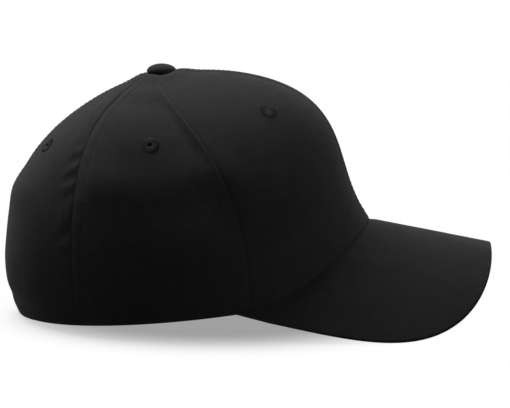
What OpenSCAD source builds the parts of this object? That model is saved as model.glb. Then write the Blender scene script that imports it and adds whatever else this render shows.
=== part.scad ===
// Bump cap: a six-panel fabric cap with a curved visor, worn over a lift-out
// protective shell with a foam liner.
// Millimetres. X points forward, Y to the wearer's left and Z up.
// The origin is the middle of the head opening, on the plane the cap rests on.

/* [Crown] */
// Length of the head opening, front to back
opening_l = 212; // [204:1:220]
// Width of the head opening
opening_w = 172; // [165:1:179]
// Height of the crown under the button
crown_h = 144.5; // [140:0.5:150]
// How far the button sits behind the middle of the opening
apex_back = 19.4; // [15:0.1:24]
// Height of the rim at the middle of the forehead
brow_z = 57.4; // [54:0.1:61]
// Thickness of the panel cloth
panel_t = 0.9; // [0.6:0.1:1.2]
// How far the middle of a panel stands proud of its seams
panel_puff = 1.2; // [0:0.1:2]
// Thickness of the stiffener behind the front panels
buckram_t = 0.8; // [0.5:0.1:1]

/* [Seams] */
// Width of the tape over each inner seam
tape_w = 14; // [10:1:18]
// Thickness of the seam tape
tape_t = 0.6; // [0.4:0.1:0.8]

/* [Visor] */
// Length of the visor at its middle
visor_l = 72.5; // [66:0.5:78]
// Downward slope of the visor's middle line
visor_slope = 10.4; // [8:0.1:12]
// Drop of the visor from its middle line to its sides
visor_drop = 53; // [51:0.5:53]
// Thickness of each cloth cover of the visor
visor_cloth_t = 0.7; // [0.5:0.1:1]
// Thickness of the visor board
visor_board_t = 1.6; // [1.2:0.1:1.8]

/* [Vents and button] */
// Outer diameter of a vent eyelet
eyelet_d = 10; // [8:0.5:12]
// Diameter of the hole through a vent eyelet
eyelet_bore = 4; // [3:0.5:5]
// Diameter of the crown button
button_d = 17.8; // [15:0.2:19]
// Height of the crown button
button_h = 5.4; // [4.4:0.2:6]

/* [Sweatband] */
// Thickness of the sweatband
band_t = 1.6; // [1.2:0.1:1.8]

/* [Insert] */
// Wall of the protective shell
shell_t = 2; // [1.6:0.1:2.4]
// Thickness of the foam liner
foam_t = 6; // [4:0.5:8]
// Thickness of one layer of hook or loop fabric
pile_t = 1; // [0.8:0.1:1]
// Air left between two pieces that come apart
air = 0.5; // [0.4:0.1:0.7]
// Width of a vent slot in the shell
slot_w = 8; // [6:1:10]
// Diameter of a round vent in the shell
vent_d = 10; // [8:1:12]
// Gap between two petals of the foam liner
petal_gap = 6; // [4:1:8]

/* [Hidden] */
// Sub-part to draw, or all of them
$fn = 48;

// Half sizes of the head opening
half_l = opening_l / 2;
half_w = opening_w / 2;

// Crown profiles from the button (0, 0) down to the rim (1, 1): reach, then fall
front_curve = [[0, 0], [0.30, -0.055], [1.02, -0.017], [0.735, 0.553], [1, 1]];
side_curve = [[0, 0], [0.24, 0.025], [0.70, 0.085], [1.02, 0.313], [1.06, 0.697], [1, 1]];
back_curve = [[0, 0], [0.22, 0.01], [0.565, 0.123], [1.059, 0.252], [1.282, 0.562], [1.096, 0.977], [1, 1]];

// Angles of the seams at the rim, front to back, how far each turns back at the button and how late
seam_rim = [0, 68, 124, 180];
seam_turn = [0, 40, 18, 0];
seam_bend = 2;
// Width of a panel over its straight chord, and the width at which its puff is full
panel_arc = 1.08;
full_puff_w = 50;
// Steps over which the slope of a surface is taken: along the crown, round it and on the visor
t_step = 0.004;
a_step = 0.5;
visor_step = 0.1;

// Cells across and down one panel, and the rows where tapes and buckram start under the button
cells_u = 12;
cells_v = 16;
lined_row = 3;
buckram_row = 2;
// Largest share of a panel's width that half a tape takes up
tape_share = 0.25;
// Radius left open round the button's rivet
apex_r = 3.2;
// Slack between two layers sewn to each other
layer_air = 0.15;
tape_depth = panel_t + layer_air;

// Visor: where it ends on the rim, the squareness of its corners, its flare and how its sides drop
visor_end = 71.3;
visor_stop = 70.2;
visor_square = 3.64;
visor_flare = 0.042;
drop_power = 1.98;
drop_share = 0.93;
drop_half_w = drop_share * half_w;
visor_rows = [0, 0.12, 0.27, 0.42, 0.57, 0.72, 0.86, 0.96, 1];
board_last = len(visor_rows) - 2;
visor_t = 2 * visor_cloth_t + visor_board_t;

// Vents: panel, place across it and place down it
eyelets = [[0, 0.52, 0.45], [1, 0.42, 0.49], [2, 0.54, 0.46]];
// Thread wrapped round a vent's hole, its slack in the cloth, and the collar's foot, rise and bevel
eyelet_wrap = 1.1;
eyelet_air = 0.1;
eyelet_foot = 0.25;
eyelet_rise = 0.6;
eyelet_bevel = 0.5;
eyelet_hole = eyelet_bore + 2 * eyelet_wrap;

// Button: its place over the crown, the fullness of its edge and dome, and its rivet and washer
button_lift = 1.1;
button_z = crown_h + button_lift;
button_steps = 10;
edge_full = 0.75;
dome_full = 0.9;
rivet_air = 0.6;
washer_d = 12;
washer_t = 0.8;
washer_drop = 4.6;
washer_z = crown_h - washer_drop;

// Sweatband: top row at the front, sides and back, and its bottom row
band_top = [0.83, 0.845, 0.76];
band_foot = 0.99;
band_rows = 4;
band_out = panel_t + max(buckram_t, layer_air + tape_t) + 2 * layer_air;
band_in = band_out + band_t;

// Insert: rim row at the front, sides and back, the point it shrinks towards, and its gap to the
// crown, which widens under the button and in a tuck above the rim
insert_foot = [0.79, 0.81, 0.71];
insert_core = [-5, 0, 50];
insert_cols = 48;
insert_rows = 12;
puff_used = 0.7;
shell_gap = panel_t + buckram_t + 2 * pile_t + air - puff_used * panel_puff;
apex_gap = 3.8;
apex_blend = 0.3;
tuck = [0.6, 1.6, 9.2];
tuck_from = 0.45;
tuck_to = 0.71;
liner_depth = shell_t + 2 * pile_t + air;
// Middles of a vent slot's round ends from the button, and where the liner's petals part
slot_from = 20;
slot_to = 42;
petal_from = 48;
// Angle from one petal or round vent to the next, with the first half a step off the middle
petal_turn = 45;

// Hook-and-loop patches: [first column, last column, first row, last row] on each grid
crown_patches = [[0, [4, 8, 3, 5]], [2, [4, 8, 4, 6]]];
shell_patches = [[4, 8, 3, 5], [19, 22, 4, 6]];
liner_patches = [[-1, 1, 5, 7], [11, 13, 5, 7], [23, 25, 5, 7], [35, 37, 5, 7]];

cloth = [0.09, 0.09, 0.10];
lining = [0.16, 0.16, 0.17];
pile = [0.12, 0.12, 0.13];
board_colour = [0.30, 0.30, 0.31];
shell_colour = [0.20, 0.21, 0.23];
foam_colour = [0.24, 0.25, 0.27];
steel = [0.62, 0.63, 0.65];

function lerp(a, b, f) = a + (b - a) * f;
function unit(v) = v / norm(v);
function ease(a, b, v) = let (f = min(1, max(0, (v - a) / (b - a)))) f * f * (3 - 2 * f);
function flip(p) = [p[0], -p[1], p[2]];

// Point on a Bezier curve
function bezier(c, t) =
    len(c) == 1 ? c[0] : bezier([for (i = [0 : len(c) - 2]) lerp(c[i], c[i + 1], t)], t);

// One value mixed from its front, side and back values by the angle round the crown
function around(v, a) =
    let (f = pow(cos(a), 2)) lerp(v[1], cos(a) > 0 ? v[0] : v[2], f);

// Height of the visor's top face
function visor_z(x, y) =
    brow_z - (x - half_l) * tan(visor_slope) - visor_drop * pow(abs(y) / drop_half_w, drop_power);

// Lower edge of the crown, on the visor in front and straight down to the back behind it
function rim(a) =
    let (
        x = half_l * cos(a),
        y = half_w * sin(a),
        end_x = half_l * cos(visor_end),
        end_z = visor_z(end_x, half_w * sin(visor_end)),
        back = (end_x - x) / (end_x + half_l)
    )
    [x, y, back < 0 ? visor_z(x, y) : end_z * (1 - back)];

// Crown surface at the angle a, from the button (t = 0) to the rim (t = 1)
function crown(a, t) =
    let (
        q = around([bezier(front_curve, t), bezier(side_curve, t), bezier(back_curve, t)], a),
        r = rim(a)
    )
    [lerp(-apex_back, r[0], q[0]), r[1] * q[0], lerp(crown_h, r[2], q[1])];

// Outward direction of the crown surface
function outward(a, t) =
    unit(cross(
        crown(a, t + t_step) - crown(a, t - t_step),
        crown(a + a_step, t) - crown(a - a_step, t)
    ));

function seam(k, t) = seam_rim[k] + seam_turn[k] * pow(max(0, 1 - t), seam_bend);
function panel_width(k, t) = panel_arc * norm(crown(seam(k + 1, t), t) - crown(seam(k, t), t));

// Row at which the cloth starts, so that the hole under the button is round
function first_t(a) =
    let (
        r = rim(a),
        speed = around([for (c = [front_curve, side_curve, back_curve]) (len(c) - 1) * c[1][0]], a)
    )
    apex_r / (speed * norm([r[0] + apex_back, r[1]]));

function row_t(k, i, j) = lerp(first_t(lerp(seam_rim[k], seam_rim[k + 1], i / cells_u)), 1, j / cells_v);

// Place across a panel: the first and last cells are as wide as half a tape
function across(k, i, t) =
    let (edge = min(tape_share, tape_w / 2 / panel_width(k, t)))
    i == 0 ? 0 : i == cells_u ? 1 : edge + (1 - 2 * edge) * (i - 1) / (cells_u - 2);

// Point at a depth under the cloth's face, at a place across and down a panel
function under(k, f, t, depth) =
    let (
        a = lerp(seam(k, t), seam(k + 1, t), f),
        wide = min(1, panel_width(k, t) / full_puff_w),
        puff = panel_puff * (1 - pow(2 * f - 1, 4)) * (1 - pow(t, 8)) * wide
    )
    crown(a, t) + outward(a, t) * (puff - depth);

function grid_point(k, i, j, depth) =
    let (t = row_t(k, i, j)) under(k, across(k, i, t), t, depth);

function panel_grid(k, cells, depth) =
    [for (i = [cells[0] : cells[1]]) [for (j = [cells[2] : cells[3]]) grid_point(k, i, j, depth)]];

// Column of points down one seam cell, used by the tapes, which end behind the sweatband
function tape_column(k, i, depth) =
    [for (j = [lined_row : cells_v - 1]) grid_point(k, i, j, depth)];

function band_point(a, f, depth) =
    let (t = lerp(around(band_top, a), band_foot, f)) crown(a, t) - outward(a, t) * depth;

function band_grid(depth) =
    [
        for (k = [0 : 2], i = [0 : cells_u - 1])
            [for (j = [0 : band_rows]) band_point(band_angle(k, i), j / band_rows, depth)],
        for (k = [2 : -1 : 0], i = [cells_u : -1 : 1])
            [for (j = [0 : band_rows]) flip(band_point(band_angle(k, i), j / band_rows, depth))]
    ];
function band_angle(k, i) = lerp(seam_rim[k], seam_rim[k + 1], across(k, i, 1));

// Visor: outer edge at an angle of the rim, and a point at a depth under the top face
function visor_edge(a) =
    let (
        turn = 90 * a / visor_end,
        start = half_l * cos(visor_end),
        reach = half_l + visor_l - start,
        wide = half_w * sin(visor_end) * (1 + visor_flare * sin(2 * abs(turn)))
    )
    [
        start + reach * pow(abs(cos(turn)), 2 / visor_square),
        wide * sign(turn) * pow(abs(sin(turn)), 2 / visor_square)
    ];
function visor_point(a, s, depth) =
    let (
        r = rim(a),
        e = visor_edge(a),
        x = lerp(r[0], e[0], s),
        y = lerp(r[1], e[1], s),
        gx = (visor_z(x + visor_step, y) - visor_z(x - visor_step, y)) / (2 * visor_step),
        gy = (visor_z(x, y + visor_step) - visor_z(x, y - visor_step)) / (2 * visor_step)
    )
    [x, y, visor_z(x, y)] - unit([-gx, -gy, 1]) * depth;
function half_visor_angles() =
    [
        for (i = [1 : cells_u], h = [0.5, 1])
            seam_rim[1] * lerp(across(0, i - 1, 1), across(0, i, 1), h),
        visor_stop
    ];
visor_half = half_visor_angles();
visor_angles = [for (i = [len(visor_half) - 1 : -1 : 0]) -visor_half[i], 0, each visor_half];
function visor_grid(rows, depths) =
    [for (a = visor_angles) [for (j = rows) visor_point(a, visor_rows[j], depths[min(j, len(depths) - 1)])]];

// Insert surface at a depth inside the shell's outer face
function insert_row(a, j) = around(insert_foot, a) * j / insert_rows;
function insert_point(a, t, depth) =
    let (
        p = crown(a, t),
        at_apex = apex_gap * (1 - ease(0, apex_blend, t)),
        at_tuck = around(tuck, a) * ease(tuck_from, tuck_to, t),
        gap = shell_gap + at_apex + at_tuck
    )
    p - unit(p - insert_core) * (gap + depth);
function insert_grid(cells, depth) =
    [
        for (i = [cells[0] : cells[1]])
            let (a = i * 360 / insert_cols)
            [for (j = [cells[2] : cells[3]]) insert_point(a, insert_row(a, j), depth)]
    ];

// Solid between two grids of points with the same number of columns and rows
module sheet(outer, inner) {
    n = len(outer) - 1;
    m = len(outer[0]) - 1;
    half = (n + 1) * (m + 1);
    function at(i, j) = i * (m + 1) + j;
    points = [for (c = outer) each c, for (c = inner) each c];
    skin = [
        for (i = [0 : n - 1], j = [0 : m - 1])
            each [[at(i, j), at(i + 1, j), at(i + 1, j + 1)], [at(i, j), at(i + 1, j + 1), at(i, j + 1)]]
    ];
    edge = [
        for (i = [0 : n]) at(i, 0),
        for (j = [1 : m]) at(n, j),
        for (i = [n - 1 : -1 : 0]) at(i, m),
        for (j = [m - 1 : -1 : 1]) at(0, j)
    ];
    solid_between(points, skin, [edge], half);
}

// Ring between two grids of points that close on themselves
module ring_sheet(outer, inner) {
    n = len(outer);
    m = len(outer[0]) - 1;
    half = n * (m + 1);
    function at(i, j) = (i % n) * (m + 1) + j;
    points = [for (c = outer) each c, for (c = inner) each c];
    skin = [
        for (i = [0 : n - 1], j = [0 : m - 1])
            each [[at(i, j), at(i + 1, j), at(i + 1, j + 1)], [at(i, j), at(i + 1, j + 1), at(i, j + 1)]]
    ];
    edges = [[for (i = [0 : n - 1]) at(i, 0)], [for (i = [n - 1 : -1 : 0]) at(i, m)]];
    solid_between(points, skin, edges, half);
}

// Dome between two depths of the insert, closed at the top
module dome(depth, thick) {
    n = insert_cols;
    m = insert_rows;
    half = n * m + 1;
    function at(i, j) = (i % n) * m + j;
    function layer(d) =
        [
            for (i = [0 : n - 1], j = [1 : m])
                let (a = i * 360 / n) insert_point(a, insert_row(a, j), d),
            insert_point(0, 0, d)
        ];
    points = [each layer(depth), each layer(depth + thick)];
    skin = [
        for (i = [0 : n - 1]) [n * m, at(i + 1, 0), at(i, 0)],
        for (i = [0 : n - 1], j = [0 : m - 2])
            each [[at(i, j), at(i + 1, j), at(i + 1, j + 1)], [at(i, j), at(i + 1, j + 1), at(i, j + 1)]]
    ];
    solid_between(points, skin, [[for (i = [n - 1 : -1 : 0]) at(i, m - 1)]], half);
}

// Closed solid from an outer skin, its copy on the inner points and the walls along its edges
module solid_between(points, skin, edges, half) {
    back = [for (f = skin) [f[0] + half, f[2] + half, f[1] + half]];
    walls = [
        for (e = edges, i = [0 : len(e) - 1])
            let (p = e[i], q = e[(i + 1) % len(e)])
            each [[q, p, p + half], [q, p + half, q + half]]
    ];
    polyhedron(points, [each skin, each back, each walls]);
}

// Layer on the inside of one panel
module panel_layer(k, cells, depth, thick) {
    sheet(panel_grid(k, cells, depth), panel_grid(k, cells, depth + thick));
}

module on_eyelet(e) {
    a = lerp(seam(e[0], e[2]), seam(e[0] + 1, e[2]), e[1]);
    n = outward(a, e[2]);
    translate(under(e[0], e[1], e[2], 0))
        rotate([0, acos(n[2]), atan2(n[1], n[0])])
            children();
}

module eyelet_cut(k) {
    difference() {
        children();
        on_eyelet(eyelets[k])
            cylinder(d = eyelet_hole, h = eyelet_d, center = true);
    }
}

module panel(k) {
    color(cloth)
        eyelet_cut(k)
            panel_layer(k, [0, cells_u, 0, cells_v], 0, panel_t);
}

module buckram() {
    color(lining)
        eyelet_cut(0)
            panel_layer(0, [1, cells_u - 1, buckram_row, cells_v], panel_t, buckram_t);
}

// Tape over the seam between a panel and the next one
module side_tape(k) {
    function strip(d) =
        [tape_column(k, cells_u - 1, d), tape_column(k, cells_u, d), tape_column(k + 1, 1, d)];
    color(lining)
        sheet(strip(tape_depth), strip(tape_depth + tape_t));
}

module front_tape() {
    function strip(d) =
        let (edge = tape_column(0, 1, d)) [[for (p = edge) flip(p)], tape_column(0, 0, d), edge];
    color(lining)
        sheet(strip(tape_depth), strip(tape_depth + tape_t));
}

module back_tape() {
    function strip(d) =
        let (edge = tape_column(2, cells_u - 1, d))
        [edge, tape_column(2, cells_u, d), [for (p = edge) flip(p)]];
    color(lining)
        sheet(strip(tape_depth), strip(tape_depth + tape_t));
}

module right_side() {
    mirror([0, 1, 0])
        children();
}

module both_sides() {
    children();
    right_side()
        children();
}

module front_panel_left() { panel(0); }
module front_panel_right() { right_side() panel(0); }
module side_panel_left() { panel(1); }
module side_panel_right() { right_side() panel(1); }
module back_panel_left() { panel(2); }
module back_panel_right() { right_side() panel(2); }
module front_buckram_left() { buckram(); }
module front_buckram_right() { right_side() buckram(); }
module front_seam_tape() { front_tape(); }
module back_seam_tape() { back_tape(); }
module front_side_tape_left() { side_tape(0); }
module front_side_tape_right() { right_side() side_tape(0); }
module side_back_tape_left() { side_tape(1); }
module side_back_tape_right() { right_side() side_tape(1); }

// One stitched ring: a raised collar on a sleeve that lines the hole
module eyelet_ring() {
    sleeve = panel_t + buckram_t + 2 * eyelet_air;
    wall = eyelet_hole / 2 - eyelet_air;
    top = eyelet_foot + eyelet_rise;
    rotate_extrude()
        polygon([
            [eyelet_bore / 2, -sleeve],
            [wall, -sleeve],
            [wall, eyelet_foot],
            [eyelet_d / 2, eyelet_foot],
            [eyelet_d / 2 - eyelet_bevel, top],
            [eyelet_bore / 2 + eyelet_bevel, top],
            [eyelet_bore / 2, eyelet_foot]
        ]);
}

module vent_eyelets() {
    color(cloth)
        both_sides()
            for (e = eyelets)
                on_eyelet(e)
                    eyelet_ring();
}

// Rounded disc with a full edge
module button_cap() {
    color(cloth)
        translate([-apex_back, 0, button_z])
            rotate_extrude()
                polygon([
                    [0, 0],
                    for (i = [0 : button_steps])
                        let (a = 90 * i / button_steps)
                        [button_d / 2 * pow(cos(a), edge_full), button_h * pow(sin(a), dome_full)]
                ]);
}

module button_rivet() {
    color(steel)
        translate([-apex_back, 0, washer_z])
            cylinder(r = apex_r - rivet_air, h = button_z - washer_z);
}

module button_washer() {
    color(steel)
        translate([-apex_back, 0, washer_z - washer_t])
            cylinder(d = washer_d, h = washer_t);
}

module visor_layer(rows, top, bottom) {
    sheet(visor_grid(rows, top), visor_grid(rows, bottom));
}

// Top cloth, turned down at its edge to close the visor over the board
module visor_top_cover() {
    folded = visor_cloth_t + visor_board_t;
    color(cloth)
        visor_layer([0 : len(visor_rows) - 1], [0], [for (j = [0 : board_last]) visor_cloth_t, folded]);
}

module visor_board() {
    color(board_colour)
        visor_layer([1 : board_last], [visor_cloth_t], [visor_cloth_t + visor_board_t]);
}

module visor_under_cover() {
    color(cloth)
        visor_layer([0 : len(visor_rows) - 1], [visor_cloth_t + visor_board_t], [visor_t]);
}

module sweatband() {
    color(lining)
        ring_sheet(band_grid(band_out), band_grid(band_in));
}

module crown_loop_patches() {
    color(pile)
        both_sides()
            for (c = crown_patches)
                panel_layer(c[0], c[1], panel_t + (c[0] == 0 ? buckram_t : 0), pile_t);
}

module insert_patch(cells, depth) {
    sheet(insert_grid(cells, depth), insert_grid(cells, depth + pile_t));
}

// Vents: long slots round the button and round holes above the rim
module shell_vents() {
    for (a = [0 : 90 : 270])
        translate([-apex_back, 0, 0])
            rotate([0, 0, a]) {
                translate([slot_from, -slot_w / 2, crown_h / 2])
                    cube([slot_to - slot_from, slot_w, crown_h]);
                for (r = [slot_from, slot_to])
                    translate([r, 0, crown_h / 2])
                        cylinder(d = slot_w, h = crown_h);
            }
    for (a = [petal_turn / 2 : petal_turn : 360])
        translate([insert_core[0], 0, crown_h / 2])
            rotate([0, 90, a])
                cylinder(d = vent_d, h = half_l);
}

module insert_shell() {
    color(shell_colour)
        difference() {
            dome(0, shell_t);
            shell_vents();
        }
}

module shell_hook_patches() {
    color(pile)
        for (c = shell_patches) {
            insert_patch(c, -pile_t);
            insert_patch([-c[1], -c[0], c[2], c[3]], -pile_t);
        }
}

module shell_inner_patches() {
    color(pile)
        for (c = liner_patches)
            insert_patch(c, shell_t);
}

// Foam dome, slit into petals so that it follows the head
module foam_liner() {
    color(foam_colour)
        difference() {
            dome(liner_depth, foam_t);
            for (a = [petal_turn / 2 : petal_turn : 360])
                translate([insert_core[0], 0, 0])
                    rotate([0, 0, a])
                        translate([petal_from, -petal_gap / 2, 0])
                            cube([half_l, petal_gap, crown_h]);
        }
}

module liner_loop_patches() {
    color(pile)
        for (c = liner_patches)
            insert_patch(c, liner_depth - pile_t);
}

front_panel_right();
front_panel_left();
side_panel_right();
side_panel_left();
back_panel_right();
back_panel_left();
front_buckram_right();
front_buckram_left();
front_seam_tape();
back_seam_tape();
front_side_tape_right();
front_side_tape_left();
side_back_tape_right();
side_back_tape_left();
vent_eyelets();
button_cap();
button_rivet();
button_washer();
visor_top_cover();
visor_board();
visor_under_cover();
sweatband();
crown_loop_patches();
insert_shell();
shell_hook_patches();
shell_inner_patches();
foam_liner();
liner_loop_patches();
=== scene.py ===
"""Dresses the bump cap: stitched cloth, covered visor, sweatband, moulded shell and foam liner."""

import math

import bmesh
import bpy
import numpy as np
from bpy.props import FloatProperty, FloatVectorProperty, IntProperty, PointerProperty
from mathutils import Matrix, Vector, noise


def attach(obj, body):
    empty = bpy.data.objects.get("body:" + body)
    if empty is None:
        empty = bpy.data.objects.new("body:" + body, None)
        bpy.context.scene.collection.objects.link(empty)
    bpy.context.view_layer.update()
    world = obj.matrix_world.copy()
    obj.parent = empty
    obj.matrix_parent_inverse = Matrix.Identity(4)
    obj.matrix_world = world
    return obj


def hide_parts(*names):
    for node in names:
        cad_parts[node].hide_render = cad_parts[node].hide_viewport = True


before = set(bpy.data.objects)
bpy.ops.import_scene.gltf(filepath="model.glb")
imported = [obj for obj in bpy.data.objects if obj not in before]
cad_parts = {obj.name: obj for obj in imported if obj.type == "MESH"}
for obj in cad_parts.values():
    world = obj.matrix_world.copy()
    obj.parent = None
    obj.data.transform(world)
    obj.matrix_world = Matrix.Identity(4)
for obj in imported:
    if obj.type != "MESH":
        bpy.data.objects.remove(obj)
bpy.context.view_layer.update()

bl_info = {
    "name": "Bump Cap",
    "version": (1, 0, 0),
    "blender": (4, 5, 0),
    "location": "View3D > Sidebar > Bump Cap",
    "description": "Builds the cloth, stitching, visor and insert of a bump cap on its solid model",
    "category": "Object",
}

MM = 0.001

# Crown profiles from the button (0, 0) down to the rim (1, 1): reach, then fall
FRONT_CURVE = ((0, 0), (0.30, -0.055), (1.02, -0.017), (0.735, 0.553), (1, 1))
SIDE_CURVE = ((0, 0), (0.24, 0.025), (0.70, 0.085), (1.02, 0.313), (1.06, 0.697), (1, 1))
BACK_CURVE = ((0, 0), (0.22, 0.01), (0.565, 0.123), (1.059, 0.252), (1.282, 0.562), (1.096, 0.977), (1, 1))

# Seams by number from front to back: angle at the rim, turn towards the button and how late it comes
SEAM_RIM = (0, 68, 124, 180)
SEAM_TURN = (0, 40, 18, 0)
SEAM_BEND = 2.0
PANELS = ("front_panel", "side_panel", "back_panel")
FRONT, SIDE, BACK = 0, 1, 2
SIDES = (("right", -1), ("left", 1))

# Vents: panel, place across it and place down it
EYELETS = ((FRONT, 0.52, 0.45), (SIDE, 0.42, 0.49), (BACK, 0.54, 0.46))


class CapSizes(bpy.types.PropertyGroup):
    """Sizes of the cap, in millimetres unless the name says otherwise"""

    opening_l: FloatProperty(name="Opening length", description="Head opening, front to back", default=212)
    opening_w: FloatProperty(name="Opening width", description="Head opening, side to side", default=172)
    crown_h: FloatProperty(name="Crown height", description="Crown under its button", default=144.5)
    apex_back: FloatProperty(name="Button set-back", description="Button behind the middle", default=19.4)
    brow_z: FloatProperty(name="Brow height", description="Height of the rim at the forehead", default=57.4)
    panel_t: FloatProperty(name="Cloth thickness", description="Thickness of the panel cloth", default=0.9)
    puff: FloatProperty(name="Panel puff", description="Middle of a panel over its seams", default=1.2)
    buckram_t: FloatProperty(name="Buckram", description="Thickness of the front stiffener", default=0.8)
    tape_w: FloatProperty(name="Tape width", description="Width of the seam tape", default=14)
    tape_t: FloatProperty(name="Tape thickness", description="Thickness of the seam tape", default=0.6)
    layer_air: FloatProperty(name="Slack", description="Between two layers sewn together", default=0.15)
    visor_l: FloatProperty(name="Visor length", description="Visor at its middle", default=72.5)
    visor_slope: FloatProperty(name="Visor slope", description="Middle line, in degrees", default=10.4)
    visor_drop: FloatProperty(name="Visor drop", description="From its middle to its sides", default=53)
    visor_t: FloatProperty(name="Visor thickness", description="Both cloths and the board", default=3.0)
    visor_cloth_t: FloatProperty(name="Visor cloth", description="Thickness of each cloth", default=0.7)
    band_t: FloatProperty(name="Sweatband", description="Thickness of the sweatband", default=1.6)
    shell_t: FloatProperty(name="Shell wall", description="Wall of the protective shell", default=2.0)
    foam_t: FloatProperty(name="Foam", description="Thickness of the foam liner", default=6.0)
    pile_t: FloatProperty(name="Pile", description="One layer of hook or loop fabric", default=1.0)
    air: FloatProperty(name="Air", description="Gap between pieces that come apart", default=0.5)
    button_d: FloatProperty(name="Button diameter", description="Crown button", default=17.8)
    button_h: FloatProperty(name="Button height", description="Crown button", default=4.6)
    eyelet_d: FloatProperty(name="Eyelet diameter", description="Outside of a stitched vent", default=9.4)
    eyelet_bore: FloatProperty(name="Eyelet hole", description="Hole of a stitched vent", default=2.8)


class CapSewing(bpy.types.PropertyGroup):
    """How the cloth is sewn, in millimetres"""

    stitch_row: FloatProperty(name="Row distance", description="Stitch row from its seam", default=6.5)
    stitch_pitch: FloatProperty(name="Stitch pitch", description="From one stitch to the next", default=3.0)
    stitch_l: FloatProperty(name="Stitch length", description="Length of one stitch", default=2.3)
    thread_r: FloatProperty(name="Thread radius", description="Radius of the thread", default=0.2)
    groove: FloatProperty(name="Seam groove", description="Depth of the seam line", default=0.5)
    pucker: FloatProperty(name="Pucker", description="Height of the puckers along a seam", default=0.3)
    pucker_pitch: FloatProperty(name="Pucker pitch", description="From one pucker to the next", default=13)
    satin_threads: IntProperty(name="Satin threads", description="Threads round one vent", default=44)


class CapLooks(bpy.types.PropertyGroup):
    """Colours of the cap's materials"""

    twill: FloatVectorProperty(
        name="Twill", description="Crown cloth", subtype="COLOR", default=(0.040, 0.040, 0.041)
    )
    # Painted light: the visor is the same cloth as the crown's twill, set lighter so that it looks more
    # brightly lit
    visor: FloatVectorProperty(
        name="Visor", description="Visor cloth", subtype="COLOR", default=(0.045, 0.045, 0.046)
    )
    # Painted light: thread set a little lighter than the cloth to make up for the shade in the grooves
    # between stitches
    thread: FloatVectorProperty(
        name="Thread", description="Topstitching and vents", subtype="COLOR", default=(0.042, 0.042, 0.043)
    )
    lint: FloatVectorProperty(
        name="Lint", description="Specks of dust on the cloth", subtype="COLOR", default=(0.16, 0.16, 0.155)
    )
    lining: FloatVectorProperty(
        name="Lining", description="Buckram and seam tapes", subtype="COLOR", default=(0.035, 0.035, 0.038)
    )
    band: FloatVectorProperty(
        name="Band", description="Sweatband", subtype="COLOR", default=(0.026, 0.026, 0.028)
    )
    pile: FloatVectorProperty(
        name="Pile", description="Hook and loop patches", subtype="COLOR", default=(0.03, 0.03, 0.033)
    )
    shell: FloatVectorProperty(
        name="Shell", description="Moulded shell", subtype="COLOR", default=(0.055, 0.058, 0.064)
    )
    foam: FloatVectorProperty(
        name="Foam", description="Foam liner", subtype="COLOR", default=(0.085, 0.088, 0.095)
    )
    board: FloatVectorProperty(
        name="Board", description="Visor board", subtype="COLOR", default=(0.25, 0.25, 0.26)
    )
    steel: FloatVectorProperty(
        name="Steel", description="Button rivet and washer", subtype="COLOR", default=(0.62, 0.63, 0.65)
    )
    floor: FloatVectorProperty(
        name="Floor", description="Studio floor", subtype="COLOR", default=(0.95, 0.95, 0.95)
    )


def sizes():
    return bpy.context.scene.cap_sizes


def sewing():
    return bpy.context.scene.cap_sewing


def looks():
    return bpy.context.scene.cap_looks


# Shape of the cap

VISOR_END = 71.3
VISOR_STOP = 70.2
VISOR_SQUARE = 3.64
VISOR_FLARE = 0.042
DROP_POWER = 1.98
APEX_R = 3.2
BAND_TOP = (0.83, 0.845, 0.76)
BAND_FOOT = 0.99
INSERT_FOOT = (0.79, 0.81, 0.71)
INSERT_CORE = np.array((-5.0, 0.0, 50.0))
APEX_GAP = 3.8
APEX_GAP_ROWS = (0, 0.3)
INSERT_TUCK = (0.6, 1.6, 9.2)
INSERT_TUCK_ROWS = (0.45, 0.71)
VISOR_DROP_SHARE = 0.93
PANEL_ARC = 1.08
PUFF_FULL_W = 50
PUFF_USED = 0.7
ROW_STEP, ANGLE_STEP = 0.004, 0.5
SEED_SHIFT = (17.3, -9.1, 5.7)

# Slack of the cloth, in millimetres: where windows of rows start, are full, end and are gone
HEM_ROWS = (0.93, 1.0)
CREASE_ROWS = (0.2, 0.34, 0.48, 0.62)
FLANK_ROWS = (0.46, 0.62, 0.68, 0.85)
DRAWN_ROWS = (0.42, 0.52, 0.68, 0.84)
PUCKER_ROWS = (0.25, 0.5)
SHOULDER_LIFT, SHOULDER_Z, SHOULDER_RISE, SHOULDER_W = 1.9, 88, 8, 13
SHOULDER_RUN, SHOULDER_FRONT, SHOULDER_REAR = (60, 0), (0, 18), (0, 14)
BUTTON_RING_LIFT, BUTTON_RING_R, BUTTON_RING_W = 1.5, 12, 7
FLANK_DEPTH, FLANK_REACH, FLANK_FADE = 2.6, (-9, 16), (20, 75)
CREASE_DEPTH, CREASE_EDGE, CREASE_REACH = 2.4, 3.8, (4, 50)
REAR_FOLD_LIFT, REAR_FOLD_W = 0.55, 9
FRONT_SLACK, SLACK_REACH = 0.2, (0, 14)
SLACK_WAVES = ((55, 0.8), (24, 0.25))
# Rolls of slack down the back: lift, height and width
BACK_ROLLS = ((1.8, 76, 9), (-1.4, 50, 14), (-0.8, 13, 4.5))
BACK_TUCK, BACK_TUCK_Z = 1.2, (60, 25)
BACK_REACH = (0.25, 0.8)

# Seams: the groove and its share at the front and rear seams, the ridge up to the stitches, their dent
GROOVE_W, SEAM_FULL_W = 0.7, 40
FRONT_GROOVE, REAR_GROOVE_LOST, REAR_GROOVE_ROWS = 0.4, 0.75, (0.34, 0.5)
RIDGE, RIDGE_FOOT, RIDGE_EDGE = 0.06, (0.6, 2.2), 1.4
DENT, DENT_W = 0.04, 0.8
PUCKER_FOOT, PUCKER_END = (0.3, 2.5), 5
WANDER, WANDER_SIZE = 4.5, 26
EVEN, UNEVEN, UNEVEN_SIZE = 0.7, 0.6, 30
PUCKER_SHARE, FRONT_PUCKER, SIDE_PUCKER, BACK_PUCKER = 0.25, 0.1, 0.4, 1.6


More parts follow.
